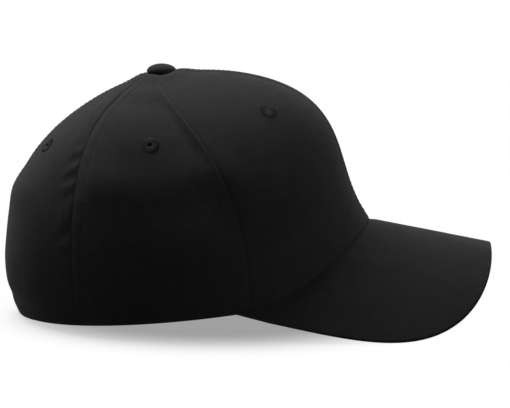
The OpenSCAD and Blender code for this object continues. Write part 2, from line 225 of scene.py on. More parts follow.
def ease(low, high, v):
    """Smooth step from 0 at low to 1 at high"""
    f = np.clip((v - low) / (high - low), 0, 1)
    return f * f * (3 - 2 * f)


def bell(v, width):
    """1 at zero, falling off over a width"""
    return np.exp(-((v / width) ** 2))


def window(rows, t):
    """1 between the second and third row, 0 before the first and after the last"""
    start, full, end, gone = rows
    return ease(start, full, t) * (1 - ease(end, gone, t))


def above_hem(t):
    return 1 - ease(*HEM_ROWS, t)


def rolled_off(inset, full=0.96):
    """How far an edge has rolled in, from 0 to nearly 1, as a quarter round"""
    return 1 - np.sqrt(1 - inset**2 * full)


def cosd(a):
    return np.cos(np.radians(a))


def sind(a):
    return np.sin(np.radians(a))


def unit(v):
    return v / np.linalg.norm(v, axis=-1, keepdims=True)


def bezier(points, t):
    n = len(points) - 1
    weights = [math.comb(n, i) * t**i * (1 - t) ** (n - i) for i in range(n + 1)]
    return sum(w[..., None] * np.array(p, float) for w, p in zip(weights, points))


def around(values, a):
    """Front, side and back values mixed by the angle round the crown"""
    c = cosd(a)
    front, side, back = values
    f = c * c
    if np.ndim(front) > np.ndim(f):
        f, c = f[..., None], c[..., None]
    return side * (1 - f) + np.where(c > 0, front, back) * f


def visor_z(x, y):
    """Height of the visor's top face, carried on under the crown as its rim"""
    s = sizes()
    half = VISOR_DROP_SHARE * s.opening_w / 2
    slope = math.tan(math.radians(s.visor_slope))
    return s.brow_z - (x - s.opening_l / 2) * slope - s.visor_drop * (np.abs(y) / half) ** DROP_POWER


def rim(a):
    """Lower edge of the crown at an angle from the front"""
    s = sizes()
    half_l, half_w = s.opening_l / 2, s.opening_w / 2
    x, y = half_l * cosd(a), half_w * sind(a)
    end_x = half_l * cosd(VISOR_END)
    end_z = visor_z(end_x, half_w * sind(VISOR_END))
    back = (end_x - x) / (end_x + half_l)
    return np.stack([x, y, np.where(back < 0, visor_z(x, y), end_z * (1 - back))], -1)


def crown(a, t):
    """Crown surface at an angle, from the button (t = 0) to the rim (t = 1)"""
    s = sizes()
    a, t = np.broadcast_arrays(np.asarray(a, float), np.asarray(t, float))
    q = around((bezier(FRONT_CURVE, t), bezier(SIDE_CURVE, t), bezier(BACK_CURVE, t)), a)
    r = rim(a)
    reach, fall = q[..., 0], q[..., 1]
    x = -s.apex_back + (r[..., 0] + s.apex_back) * reach
    return np.stack([x, r[..., 1] * reach, s.crown_h + (r[..., 2] - s.crown_h) * fall], -1)


def outward(a, t):
    down = crown(a, t + ROW_STEP) - crown(a, t - ROW_STEP)
    along = crown(a + ANGLE_STEP, t) - crown(a - ANGLE_STEP, t)
    return unit(np.cross(down, along))


def seam(k, t):
    """Angle of a seam at a row"""
    return SEAM_RIM[k] + SEAM_TURN[k] * np.maximum(0, 1 - t) ** SEAM_BEND


def panel_width(k, t):
    return PANEL_ARC * np.linalg.norm(crown(seam(k + 1, t), t) - crown(seam(k, t), t), axis=-1)


def first_t(a):
    """Row at which the cloth starts, so that the hole under the button is round"""
    r = rim(a)
    speed = around([(len(c) - 1) * c[1][0] for c in (FRONT_CURVE, SIDE_CURVE, BACK_CURVE)], a)
    return APEX_R / (speed * np.hypot(r[..., 0] + sizes().apex_back, r[..., 1]))


def swell(points, size, seed):
    """Smooth bumps between -1 and 1 over points in millimetres"""
    shift = Vector([step * seed for step in SEED_SHIFT])
    flat = points.reshape(-1, 3) / size
    values = [noise.noise(Vector(p) + shift) for p in flat]
    return np.array(values).reshape(points.shape[:-1])


def groove_share(number, t):
    """How much of its groove a seam shows at a row"""
    if number == 1:
        return FRONT_GROOVE
    if number == 2:
        return 1 - REAR_GROOVE_LOST * ease(*REAR_GROOVE_ROWS, t)
    return 1.0


def pucker_share(k, number, t):
    """How much a panel puckers beside a seam at a row"""
    if k == FRONT:
        return FRONT_PUCKER
    if number != 2:
        return PUCKER_SHARE
    return (BACK_PUCKER if k == BACK else SIDE_PUCKER) * window(DRAWN_ROWS, t)


def seam_relief(k, side, s0, s1, t, v, base):
    """Height of the cloth over its smooth panel beside its two seams"""
    w = sewing()
    row = w.stitch_row
    seed = 3 * k + (7 if side > 0 else 1)
    fade = np.minimum(1, panel_width(k, t) / SEAM_FULL_W)
    wander = swell(base, WANDER_SIZE, seed)
    uneven = EVEN + UNEVEN * swell(base, UNEVEN_SIZE, seed + 2)
    out = np.zeros_like(t)
    for number, s in ((k, s0), (k + 1, s1)):
        out -= w.groove * groove_share(number, t) * bell(s, GROOVE_W) * fade
        out += RIDGE * ease(*RIDGE_FOOT, s) * (1 - ease(row - RIDGE_EDGE, row, s)) * fade
        out -= DENT * bell(s - row, DENT_W) * fade
        near = ease(*PUCKER_FOOT, s) * (1 - ease(row, row + PUCKER_END, s)) * ease(*PUCKER_ROWS, t) * fade
        wave = np.sin(2 * math.pi * v / w.pucker_pitch + WANDER * wander + seed)
        out += w.pucker * pucker_share(k, number, t) * near * wave * uneven
    return out


def soft_relief(k, side, s0, s1, t, base):
    """Slack of the panels between their seams"""
    seed = 20 + 3 * k + (5 if side > 0 else 0)
    inside = ease(*SLACK_REACH, np.minimum(s0, s1))
    loose = sum(swell(base, size, seed + i) * lift for i, (size, lift) in enumerate(SLACK_WAVES))
    apex = np.hypot(base[..., 0] + sizes().apex_back, base[..., 1])
    z = base[..., 2]
    flank = FLANK_DEPTH * window(FLANK_ROWS, t)
    rise = ease(*SHOULDER_RUN, s0) if k == SIDE else 1.0
    shoulder = SHOULDER_LIFT * bell(z - SHOULDER_Z - SHOULDER_RISE * rise, SHOULDER_W)
    out = BUTTON_RING_LIFT * bell(apex - BUTTON_RING_R, BUTTON_RING_W)
    if k == FRONT:
        out += shoulder * (1 - ease(*SHOULDER_FRONT, s1)) - flank * ease(*FLANK_REACH, -s1)
        return out + FRONT_SLACK * loose * inside
    out += loose * inside
    if k == SIDE:
        crease = CREASE_DEPTH * window(CREASE_ROWS, t)
        out -= crease * (1 - bell(s0, CREASE_EDGE)) * (1 - ease(*CREASE_REACH, s0))
        out -= flank * ease(*FLANK_REACH, s0) * (1 - ease(*FLANK_FADE, s0))
        out += shoulder * ease(*SHOULDER_REAR, s1) + REAR_FOLD_LIFT * bell(s1, REAR_FOLD_W)
    if k == BACK:
        out += REAR_FOLD_LIFT * bell(s0, REAR_FOLD_W)
        slack = sum(lift * bell(z - height, width) for lift, height, width in BACK_ROLLS)
        out += (slack - BACK_TUCK * ease(*BACK_TUCK_Z, z)) * ease(*BACK_REACH, s0 / (s0 + s1))
    return out


def panel_lift(k, f, t, side, seen):
    """Height of a panel's face over the smooth crown, at points of that crown"""
    wide = panel_width(k, t)
    puff = sizes().puff * (1 - (2 * f - 1) ** 4) * (1 - t**8) * np.minimum(1, wide / PUFF_FULL_W)
    return puff + soft_relief(k, side, f * wide, (1 - f) * wide, t, seen) * above_hem(t)


def place(k, f, t, depth, side=-1, relief=None):
    """Points under the face of a panel at a place across and down it"""
    a = seam(k, t) * (1 - f) + seam(k + 1, t) * f
    base = crown(a, t)
    seen = base * (1, side, 1)
    lift = panel_lift(k, f, t, side, seen) - depth
    if relief is not None:
        lift = lift + relief(seen)
    out = base + outward(a, t) * lift[..., None]
    out[..., 1] *= side
    return out


def panel_places(k, rows, cells, edges, start=0.0):
    """Grid of places (f, t) over one panel: given distances from both seams, then even steps"""
    edges = np.asarray(edges, float)
    n = len(edges)
    nominal = np.linspace(0, 1, 2 * n + cells - 1)
    t0 = np.maximum(first_t(SEAM_RIM[k] * (1 - nominal) + SEAM_RIM[k + 1] * nominal), start)
    t = t0[:, None] + (1 - t0[:, None]) * np.linspace(0, 1, rows + 1)[None, :]
    wide = panel_width(k, t)
    scale = np.minimum(1, EDGE_SHARE * wide / edges[-1]) / wide
    near = edges[:, None] * scale[:n]
    far = 1 - edges[::-1, None] * scale[-n:]
    last = edges[-1] * scale[n:-n]
    middle = last + (1 - 2 * last) * np.linspace(0, 1, cells + 1)[1:-1, None]
    return np.concatenate([near, middle, far]), t


# Meshes

EDGE_SHARE = 0.3
SHARP_EDGE = 40
SHARP_TURNED = 50
SAME_SPOT = 1e-6


def linked(name, data):
    """Object of a mesh, lamp or camera, put in the scene"""
    obj = bpy.data.objects.new(name, data)
    bpy.context.scene.collection.objects.link(obj)
    return obj


def mesh_object(name, points, faces, uv=None):
    mesh = bpy.data.meshes.new(name)
    mesh.from_pydata((np.asarray(points) * MM).tolist(), [], faces)
    if uv is not None:
        layer = mesh.uv_layers.new(name="cloth_mm")
        index = np.empty(len(mesh.loops), dtype=np.int32)
        mesh.loops.foreach_get("vertex_index", index)
        layer.data.foreach_set("uv", np.asarray(uv, float)[index].ravel())
    mesh.validate()
    return linked(name, mesh)


def tidy_normals(obj, sharp=SHARP_EDGE):
    """Merges doubles, turns faces outwards and smooths all but the sharp edges"""
    bm = bmesh.new()
    bm.from_mesh(obj.data)
    bmesh.ops.remove_doubles(bm, verts=bm.verts, dist=SAME_SPOT)
    bmesh.ops.recalc_face_normals(bm, faces=bm.faces)
    bm.to_mesh(obj.data)
    bm.free()
    obj.data.shade_smooth()
    obj.data.set_sharp_from_angle(angle=math.radians(sharp))


def grid_faces(n, m, wrap=False):
    faces = []
    for i in range(n if wrap else n - 1):
        k = (i + 1) % n
        faces += [(i * m + j, k * m + j, k * m + j + 1, i * m + j + 1) for j in range(m - 1)]
    return faces


def sheet_object(name, outer, inner, uv=None, wrap=False):
    """Closed solid between two grids of points; uv is in millimetres"""
    n, m = outer.shape[:2]
    half = n * m
    skin = grid_faces(n, m, wrap)
    back = [tuple(v + half for v in reversed(f)) for f in skin]
    if wrap:
        rims = [[i * m for i in range(n)], [i * m + m - 1 for i in reversed(range(n))]]
    else:
        rims = [
            [i * m for i in range(n)]
            + [(n - 1) * m + j for j in range(1, m)]
            + [i * m + m - 1 for i in reversed(range(n - 1))]
            + [j for j in reversed(range(1, m - 1))]
        ]
    walls = []
    for loop in rims:
        for i, p in enumerate(loop):
            q = loop[(i + 1) % len(loop)]
            walls.append((q, p, p + half, q + half))
    points = np.concatenate([outer.reshape(-1, 3), inner.reshape(-1, 3)])
    if uv is not None:
        flat = uv.reshape(-1, 2)
        uv = np.concatenate([flat, flat])
    obj = mesh_object(name, points, skin + back + walls, uv)
    tidy_normals(obj)
    return obj


def walk(points, axis):
    """Distance travelled over a grid of points along one of its axes"""
    step = np.linalg.norm(np.diff(points, axis=axis), axis=-1)
    zero = np.zeros_like(np.take(step, [0], axis=axis))
    return np.cumsum(np.concatenate([zero, step], axis=axis), axis=axis)


def cloth_uv(points):
    """Millimetres across and down a grid of points, measured from its middle column"""
    across = walk(points, 0)
    across = across - across[across.shape[0] // 2][None, :]
    down = walk(points, 1)
    down = down[down.shape[0] // 2][None, :] * np.ones_like(across)
    return np.stack([across, down], -1)


def baked(obj):
    """Applies the modifiers of an object to its mesh"""
    graph = bpy.context.evaluated_depsgraph_get()
    mesh = bpy.data.meshes.new_from_object(obj.evaluated_get(graph))
    obj.modifiers.clear()
    old = obj.data
    obj.data = mesh
    mesh.name = obj.name
    bpy.data.meshes.remove(old)
    return obj


def cut(obj, cutter):
    """Cuts a closed tool out of an object and deletes the tool"""
    mod = obj.modifiers.new("cut", "BOOLEAN")
    mod.operation = "DIFFERENCE"
    mod.solver = "EXACT"
    mod.object = cutter
    baked(obj)
    bpy.data.objects.remove(cutter)
    obj.data.set_sharp_from_angle(angle=math.radians(SHARP_EDGE))


def tool_object(name, bm):
    mesh = bpy.data.meshes.new(name)
    bm.to_mesh(mesh)
    bm.free()
    return linked(name, mesh)


def paint(obj, *materials):
    obj.data.materials.clear()
    for m in materials:
        obj.data.materials.append(m)


def dress(obj, body, slot, material, *nodes):
    """Gives a piece its material and the body it moves with, and hides the solids it stands for"""
    paint(obj, material)
    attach(obj, body)
    if nodes:
        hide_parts(*nodes)
    return obj


# Materials

# Shares of worn and woven tone in a cloth's colour, then its other finish values
WORN_SHARE, WOVEN_SHARE = 0.3, 0.4
CLOTH_TONES = (0.75, 1.3)
CLOTH_ROUGHNESS, CLOTH_ROUGH_SPREAD = 0.79, 0.12
CLOTH_SPECULAR = 0.06
CLOTH_SHEEN, SHEEN_ROUGHNESS = 0.06, 0.5
SHEEN_TINT = (0.75, 0.76, 0.8, 1)
RIB_DRIFT = 0.9
DRIFT_SCALE, FUZZ_SCALE = 0.7, 1.6
WORN_SCALE, PATCHY_SCALE, GRAIN_PATCHES = 22, 150, 28
THREAD_SHARE = 0.35
RIB_TONE = 0.08
WEAVE_DEPTH = 0.00012
GRAIN_DEPTH = 0.0003
GRAIN_TONES = (0.85, 1.15)
GRAIN_ROUGH_SPREAD = 0.2
SPECK_SIZE, SPECK_SPREAD = 0.012, 0.03
RAMP_ENDS = (0.3, 0.7)


def node_in(tree, kind, **values):
    n = tree.nodes.new(kind)
    for key, value in values.items():
        setattr(n, key, value)
    return n


def link(tree, a, b):
    tree.links.new(a, b)


def feed(tree, socket, value):
    """Sets a socket to a number, or links it to another socket"""
    if isinstance(value, (int, float)):
        socket.default_value = value
    else:
        link(tree, value, socket)


def math_node(tree, operation, *values):
    n = node_in(tree, "ShaderNodeMath", operation=operation)
    for socket, value in zip(n.inputs, values):
        feed(tree, socket, value)
    return n.outputs[0]


def noise_node(tree, vector, scale, detail=2):
    n = node_in(tree, "ShaderNodeTexNoise")
    link(tree, vector, n.inputs["Vector"])
    feed(tree, n.inputs["Scale"], scale)
    n.inputs["Detail"].default_value = detail
    return n.outputs["Fac"]


def tree_input(tree, label, kind, default):
    sock = tree.interface.new_socket(label, in_out="INPUT", socket_type=kind)
    if default is not None:
        sock.default_value = default


def effect_group(name, inputs, outputs):
    """Empty shader node group with named inputs (name, type, default) and outputs (name, type)"""
    group = bpy.data.node_groups.new(name, "ShaderNodeTree")
    for label, kind, default in inputs:
        tree_input(group, label, kind, default)
    for label, kind in outputs:
        group.interface.new_socket(label, in_out="OUTPUT", socket_type=kind)
    return group, group.nodes.new("NodeGroupInput"), group.nodes.new("NodeGroupOutput")


FLOAT, VECTOR = "NodeSocketFloat", "NodeSocketVector"


def twill_group():
    """Diagonal ribs of a twill and the threads across them, from cloth millimetres"""
    name = "twill_weave"
    if name in bpy.data.node_groups:
        return bpy.data.node_groups[name]
    group, gin, gout = effect_group(
        name,
        [("Cloth", VECTOR, None), ("Rib", FLOAT, 0.9), ("Thread", FLOAT, 0.45)],
        [("Height", FLOAT), ("Tone", FLOAT)],
    )

    def wave(across, pitch):
        turns = math_node(group, "DIVIDE", math_node(group, "MULTIPLY", across, math.tau), pitch)
        return math_node(group, "SINE", turns)

    drift = noise_node(group, gin.outputs["Cloth"], DRIFT_SCALE)
    split = node_in(group, "ShaderNodeSeparateXYZ")
    link(group, gin.outputs["Cloth"], split.inputs[0])
    straight = math_node(group, "ADD", split.outputs[0], split.outputs[1])
    diagonal = math_node(group, "MULTIPLY_ADD", drift, RIB_DRIFT, straight)
    counter = math_node(group, "SUBTRACT", split.outputs[0], split.outputs[1])
    rib = wave(diagonal, gin.outputs["Rib"])
    thread = wave(counter, gin.outputs["Thread"])
    link(group, math_node(group, "MULTIPLY_ADD", thread, THREAD_SHARE, rib), gout.inputs["Height"])
    fuzz = noise_node(group, gin.outputs["Cloth"], FUZZ_SCALE, 3)
    tone = math_node(group, "MULTIPLY_ADD", rib, RIB_TONE, fuzz)
    link(group, tone, gout.inputs["Tone"])
    return group


def lint_group():
    """Mask of a few small specks lying on the cloth"""
    name = "lint_specks"
    if name in bpy.data.node_groups:
        return bpy.data.node_groups[name]
    group, gin, gout = effect_group(
        name, [("Vector", VECTOR, None), ("Spread", FLOAT, 90.0), ("Share", FLOAT, 0.2)], [("Mask", FLOAT)]
    )
    cells = node_in(group, "ShaderNodeTexVoronoi", feature="F1")
    link(group, gin.outputs["Vector"], cells.inputs["Vector"])
    link(group, gin.outputs["Spread"], cells.inputs["Scale"])
    split = node_in(group, "ShaderNodeSeparateColor")
    link(group, cells.outputs["Color"], split.inputs[0])
    chosen = math_node(group, "LESS_THAN", split.outputs[0], gin.outputs["Share"])
    size = math_node(group, "MULTIPLY_ADD", split.outputs[1], SPECK_SPREAD, SPECK_SIZE)
    near = math_node(group, "LESS_THAN", cells.outputs["Distance"], size)
    link(group, math_node(group, "MULTIPLY", chosen, near), gout.inputs["Mask"])
    return group


def grain_group():
    """Fine moulded or foamed grain"""
    name = "fine_grain"
    if name in bpy.data.node_groups:
        return bpy.data.node_groups[name]
    group, gin, gout = effect_group(
        name, [("Vector", VECTOR, None), ("Scale", FLOAT, 900.0)], [("Height", FLOAT), ("Tone", FLOAT)]
    )
    fine = noise_node(group, gin.outputs["Vector"], gin.outputs["Scale"], 4)
    broad = noise_node(group, gin.outputs["Vector"], GRAIN_PATCHES)
    link(group, fine, gout.inputs["Height"])
    link(group, broad, gout.inputs["Tone"])
    return group


def new_material(name):
    mat = bpy.data.materials.new(name)
    mat.use_nodes = True
    tree = mat.node_tree
    return mat, tree, tree.nodes["Principled BSDF"]


def group_node(tree, group):
    n = tree.nodes.new("ShaderNodeGroup")
    n.node_tree = group
    return n


def spread_colour(tree, factor, colour, low, high):
    """Colour that runs from low to high times itself with a factor around one half"""
    ramp = node_in(tree, "ShaderNodeValToRGB")
    for stop, position, share in zip(ramp.color_ramp.elements, RAMP_ENDS, (low, high)):
        stop.position = position
        stop.color = (*[c * share for c in colour], 1)
    link(tree, factor, ramp.inputs[0])
    return ramp.outputs[0]


def bump(tree, shader, height, strength, distance):
    n = node_in(tree, "ShaderNodeBump")
    n.inputs["Strength"].default_value = strength
    n.inputs["Distance"].default_value = distance
    link(tree, height, n.inputs["Height"])
    link(tree, n.outputs[0], shader.inputs["Normal"])


def cloth_material(name, colour, rib, thread, lint=0.0, strength=0.35, flat=0.25):
    """Woven cloth: ribs on the piece's own millimetres, worn tone, sheen and lint"""
    mat, tree, shader = new_material(name)
    coords = node_in(tree, "ShaderNodeTexCoord")
    weave = group_node(tree, twill_group())
    weave.inputs["Rib"].default_value = rib
    weave.inputs["Thread"].default_value = thread
    link(tree, coords.outputs["UV"], weave.inputs["Cloth"])
    broad = noise_node(tree, coords.outputs["Object"], WORN_SCALE, 3)
    patchy = noise_node(tree, coords.outputs["Object"], PATCHY_SCALE)
    woven = math_node(tree, "MULTIPLY", weave.outputs["Tone"], WOVEN_SHARE)
    tone = math_node(tree, "MULTIPLY_ADD", math_node(tree, "ADD", broad, patchy), WORN_SHARE, woven)
    base = spread_colour(tree, tone, colour, *CLOTH_TONES)
    if lint:
        specks = group_node(tree, lint_group())
        specks.inputs["Share"].default_value = lint
        link(tree, coords.outputs["Object"], specks.inputs["Vector"])
        mix = node_in(tree, "ShaderNodeMix", data_type="RGBA")
        link(tree, specks.outputs["Mask"], mix.inputs["Factor"])
        link(tree, base, mix.inputs["A"])
        mix.inputs["B"].default_value = (*looks().lint, 1)
        base = mix.outputs["Result"]
    link(tree, base, shader.inputs["Base Color"])
    rough = math_node(tree, "MULTIPLY_ADD", weave.outputs["Tone"], CLOTH_ROUGH_SPREAD, CLOTH_ROUGHNESS)
    link(tree, rough, shader.inputs["Roughness"])
    shader.inputs["Diffuse Roughness"].default_value = flat
    shader.inputs["Specular IOR Level"].default_value = CLOTH_SPECULAR
    shader.inputs["Sheen Weight"].default_value = CLOTH_SHEEN
    shader.inputs["Sheen Roughness"].default_value = SHEEN_ROUGHNESS
    shader.inputs["Sheen Tint"].default_value = SHEEN_TINT
    bump(tree, shader, weave.outputs["Height"], strength, WEAVE_DEPTH)
    return mat


def grain_material(name, colour, scale, roughness, strength, metallic=0.0, specular=0.5, sheen=0.0):
    """Moulded plastic, foam, pile or steel with a fine grain"""
    mat, tree, shader = new_material(name)
    coords = node_in(tree, "ShaderNodeTexCoord")
    grain = group_node(tree, grain_group())
    grain.inputs["Scale"].default_value = scale
    link(tree, coords.outputs["Object"], grain.inputs["Vector"])
    base = spread_colour(tree, grain.outputs["Tone"], colour, *GRAIN_TONES)
    link(tree, base, shader.inputs["Base Color"])
    least = roughness - GRAIN_ROUGH_SPREAD / 2
    rough = math_node(tree, "MULTIPLY_ADD", grain.outputs["Height"], GRAIN_ROUGH_SPREAD, least)
    link(tree, rough, shader.inputs["Roughness"])
    shader.inputs["Metallic"].default_value = metallic
    shader.inputs["Specular IOR Level"].default_value = specular
    shader.inputs["Sheen Weight"].default_value = sheen
    bump(tree, shader, grain.outputs["Height"], strength, GRAIN_DEPTH)
    return mat


def material(name):
    """The cap's materials by name, each made once"""
    if name in bpy.data.materials:
        return bpy.data.materials[name]
    c = looks()
    makers = {
        "black_twill": lambda: cloth_material(name, c.twill, 0.9, 0.5, lint=0.05),
        # The visor's twill is painted lighter than the crown's same cloth: painted light
        "visor_twill": lambda: cloth_material(name, c.visor, 0.9, 0.5, lint=0.06, strength=0.12, flat=1.0),
        # Thread painted lighter to lift the shade between stitches: painted light
        "black_thread": lambda: grain_material(name, c.thread, 2500, 0.8, 0.2, specular=0.1, sheen=0.03),
        "lining_cloth": lambda: cloth_material(name, c.lining, 1.6, 1.6, strength=0.5),
        "band_cloth": lambda: cloth_material(name, c.band, 1.2, 1.2, strength=0.5),
        "hook_pile": lambda: grain_material(name, c.pile, 1400, 0.95, 1.0, specular=0.1, sheen=0.3),
        "moulded_shell": lambda: grain_material(name, c.shell, 1800, 0.48, 0.12),
        "closed_foam": lambda: grain_material(name, c.foam, 1100, 0.9, 0.35, specular=0.2),
        "visor_board": lambda: grain_material(name, c.board, 700, 0.5, 0.1),
        "pressed_steel": lambda: grain_material(name, c.steel, 600, 0.35, 0.1, metallic=1.0),
    }
    return makers[name]()


# Geometry Nodes

def stitch_tree():
    """Stitches along the edges of a mesh: one short rounded thread at every pitch"""
    name = "stitch_rows"
    if name in bpy.data.node_groups:
        return bpy.data.node_groups[name]
    tree = bpy.data.node_groups.new(name, "GeometryNodeTree")
    tree.interface.new_socket("Geometry", in_out="INPUT", socket_type="NodeSocketGeometry")
    tree_input(tree, "Pitch", FLOAT, 0.003)
    tree_input(tree, "Length", FLOAT, 0.0023)
    tree_input(tree, "Thread Radius", FLOAT, 0.00024)
    tree_input(tree, "Material", "NodeSocketMaterial", None)
    tree.interface.new_socket("Geometry", in_out="OUTPUT", socket_type="NodeSocketGeometry")
    gin, gout = tree.nodes.new("NodeGroupInput"), tree.nodes.new("NodeGroupOutput")
    curve = tree.nodes.new("GeometryNodeMeshToCurve")
    even = tree.nodes.new("GeometryNodeResampleCurve")
    even.mode = "LENGTH"
    tangent = tree.nodes.new("GeometryNodeInputTangent")
    turn = tree.nodes.new("FunctionNodeAlignRotationToVector")
    turn.axis = "Z"
    ball = tree.nodes.new("GeometryNodeMeshUVSphere")
    ball.inputs["Segments"].default_value = 6
    ball.inputs["Rings"].default_value = 5
    ball.inputs["Radius"].default_value = 1.0
    size = tree.nodes.new("ShaderNodeCombineXYZ")
    half = math_node(tree, "MULTIPLY", gin.outputs["Length"], 0.5)
    spots = tree.nodes.new("GeometryNodeInstanceOnPoints")
    real = tree.nodes.new("GeometryNodeRealizeInstances")
    paint_node = tree.nodes.new("GeometryNodeSetMaterial")
    link(tree, gin.outputs["Geometry"], curve.inputs["Mesh"])
    link(tree, curve.outputs["Curve"], even.inputs["Curve"])
    link(tree, gin.outputs["Pitch"], even.inputs["Length"])
    link(tree, even.outputs["Curve"], spots.inputs["Points"])
    link(tree, ball.outputs["Mesh"], spots.inputs["Instance"])
    link(tree, tangent.outputs[0], turn.inputs["Vector"])
    link(tree, turn.outputs[0], spots.inputs["Rotation"])
    link(tree, gin.outputs["Thread Radius"], size.inputs[0])
    link(tree, gin.outputs["Thread Radius"], size.inputs[1])
    link(tree, half, size.inputs[2])
    link(tree, size.outputs[0], spots.inputs["Scale"])
    link(tree, spots.outputs["Instances"], real.inputs[0])
    link(tree, real.outputs[0], paint_node.inputs["Geometry"])
    link(tree, gin.outputs["Material"], paint_node.inputs["Material"])
    link(tree, paint_node.outputs[0], gout.inputs[0])
    return tree


def run_tree(obj, tree, **values):
    """Runs a node tree on an object with its inputs set by name, and keeps the mesh"""
    mod = obj.modifiers.new(tree.name, "NODES")
    mod.node_group = tree
    idents = {s.name: s.identifier for s in tree.interface.items_tree if s.in_out == "INPUT"}
    for label, value in values.items():
        mod[idents[label.replace("_", " ")]] = value
    baked(obj)
    obj.data.shade_smooth()
    return obj


def thread_rows(name, rows, body, slot, pitch=None, length=None, radius=None):
    """Stitches along rows of points in millimetres"""
    w = sewing()
    points = np.concatenate(rows) * MM
    edges, start = [], 0
    for row in rows:
        edges += [(start + i, start + i + 1) for i in range(len(row) - 1)]
        start += len(row)
    mesh = bpy.data.meshes.new(name)
    mesh.from_pydata(points.tolist(), edges, [])
    obj = linked(name, mesh)
    thread = material("black_thread")
    run_tree(
        obj, stitch_tree(), Pitch=(pitch or w.stitch_pitch) * MM, Length=(length or w.stitch_l) * MM,
        Thread_Radius=(radius or w.thread_r) * MM, Material=thread,
    )
    return dress(obj, body, slot, thread)


# Crown

SEAM_STEPS = (0, 0.25, 0.55, 1.0, 1.6, 2.3, 3.1, 4.0, 5.0, 5.8, 6.5, 7.2, 8.2, 9.6, 12.0)
PANEL_ROWS = 150
PANEL_CELLS = 22
HEM, HEM_ROLL = 1.0, 0.02
PANEL_LENGTH = 195
# First and last row of the tapes over seams 0 to 3; the last one ends above the drawn-in hem
TAPE_ROWS = ((0.2, 0.94), (0.2, 0.94), (0.2, 0.94), (0.2, 0.895))
STITCH_ROWS, STITCH_POINTS, STITCH_RISE = (0.1, 0.965), 110, 0.05
STITCH_SHARE = 0.28
VENT_CUT, VENT_CUT_AIR, VENT_SIDES = 14, 0.5, 28
# Vents of each panel: height of the stitches and share of the hole left; the front ones are flat and tight
VENT_RISE = (0.12, 0.3, 0.3)
VENT_HOLE = (3 / 7, 1, 1)
VENT_SLEEVE = 1.6
SATIN = {"pitch": 0.55, "length": 1.0, "radius": 0.21}
SATIN_LIFT, SATIN_STEPS = 0.05, 8
SATIN_SWEEP, SATIN_LEAD = 1.1, 0.05
CORD_REACH, CORD_RISE, CORD_SMOOTH = 0.96, 0.9, 80


def panel_relief(k, side, f, t):
    """Seam relief of a panel and the roll of its hem, as a function of its points"""
    wide = panel_width(k, t)
    s0, s1 = f * wide, (1 - f) * wide
    v = t * PANEL_LENGTH

    def relief(base):
        out = seam_relief(k, side, s0, s1, t, v, base)
        rolled = np.clip(1 - (1 - t) / HEM_ROLL, 0, 1)
        return out * above_hem(t) - HEM * rolled_off(rolled)

    return relief


def panel_piece(k, side_name, side):
    name = f"{PANELS[k]}_{side_name}"
    f, t = panel_places(k, PANEL_ROWS, PANEL_CELLS, SEAM_STEPS)
    zero = np.zeros_like(t)
    outer = place(k, f, t, zero, side, panel_relief(k, side, f, t))
    inner = place(k, f, t, zero + sizes().panel_t, side)
    obj = sheet_object(f"{name}_cloth", outer, inner, cloth_uv(outer))
    cut(obj, eyelet_cutter(k, side))
    dress(obj, "cover", "cloth", material("black_twill"), name)


def eyelet_frame(k, side):
    """Matrix that stands a piece on a vent, in metres, with Z out of the cloth"""
    panel, f, t = EYELETS[k]
    f, t = np.array([f]), np.array([t])
    a = seam(panel, t) * (1 - f) + seam(panel + 1, t) * f
    spot = place(panel, f, t, np.zeros(1), side)[0]
    out = outward(a, t)[0]
    out[1] *= side
    z = Vector(out)
    x = z.cross(Vector((0, 0, 1))).normalized()
    y = z.cross(x)
    turn = Matrix((x, y, z)).transposed().to_4x4()
    return Matrix.Translation(Vector(spot * MM)) @ turn


def eyelet_cutter(k, side):
    bm = bmesh.new()
    r = (sizes().eyelet_bore / 2 + VENT_CUT_AIR) * MM
    bmesh.ops.create_cone(bm, cap_ends=True, segments=VENT_SIDES, radius1=r, radius2=r, depth=VENT_CUT * MM)
    bmesh.ops.transform(bm, matrix=eyelet_frame(k, side), verts=bm.verts)
    return tool_object("vent_cut", bm)


def layer_object(name, k, side, f, t, depth, thick):
    """Layer of even thickness under the face of a panel"""
    outer = place(k, f, t, np.zeros_like(t) + depth, side)
    inner = place(k, f, t, np.zeros_like(t) + depth + thick, side)
    return sheet_object(name, outer, inner, cloth_uv(outer))


class CAP_OT_panels(bpy.types.Operator):
    """Six crown panels with their seam grooves, puckers and slack"""

    bl_idname = "bump_cap.panels"
    bl_label = "Crown Panels"

    def execute(self, context):
        for k in range(3):
            for side_name, side in SIDES:
                panel_piece(k, side_name, side)
        return {"FINISHED"}


def seam_rows(k, offset, side):
    """Points of the stitch row beside seam k, on the panel before it or after it"""
    t = np.linspace(*STITCH_ROWS, STITCH_POINTS)
    panel = k if offset > 0 else k - 1
    wide = panel_width(panel, t)
    shift = np.minimum(sewing().stitch_row / wide, STITCH_SHARE)
    f = shift if offset > 0 else 1 - shift
    depth = np.full_like(t, -STITCH_RISE)
    return place(panel, f, t, depth, side, panel_relief(panel, side, f, t))


class CAP_OT_topstitch(bpy.types.Operator):
    """Stitch rows on both sides of every crown seam"""

    bl_idname = "bump_cap.topstitch"
    bl_label = "Topstitching"

    def execute(self, context):
        rows = []
        for _, side in SIDES:
            rows.append(seam_rows(0, 1, side))
            for k in (1, 2):
                rows += [seam_rows(k, -1, side), seam_rows(k, 1, side)]
            rows.append(seam_rows(3, -1, side))
        thread_rows("crown_topstitch", rows, "cover", "thread")
        return {"FINISHED"}


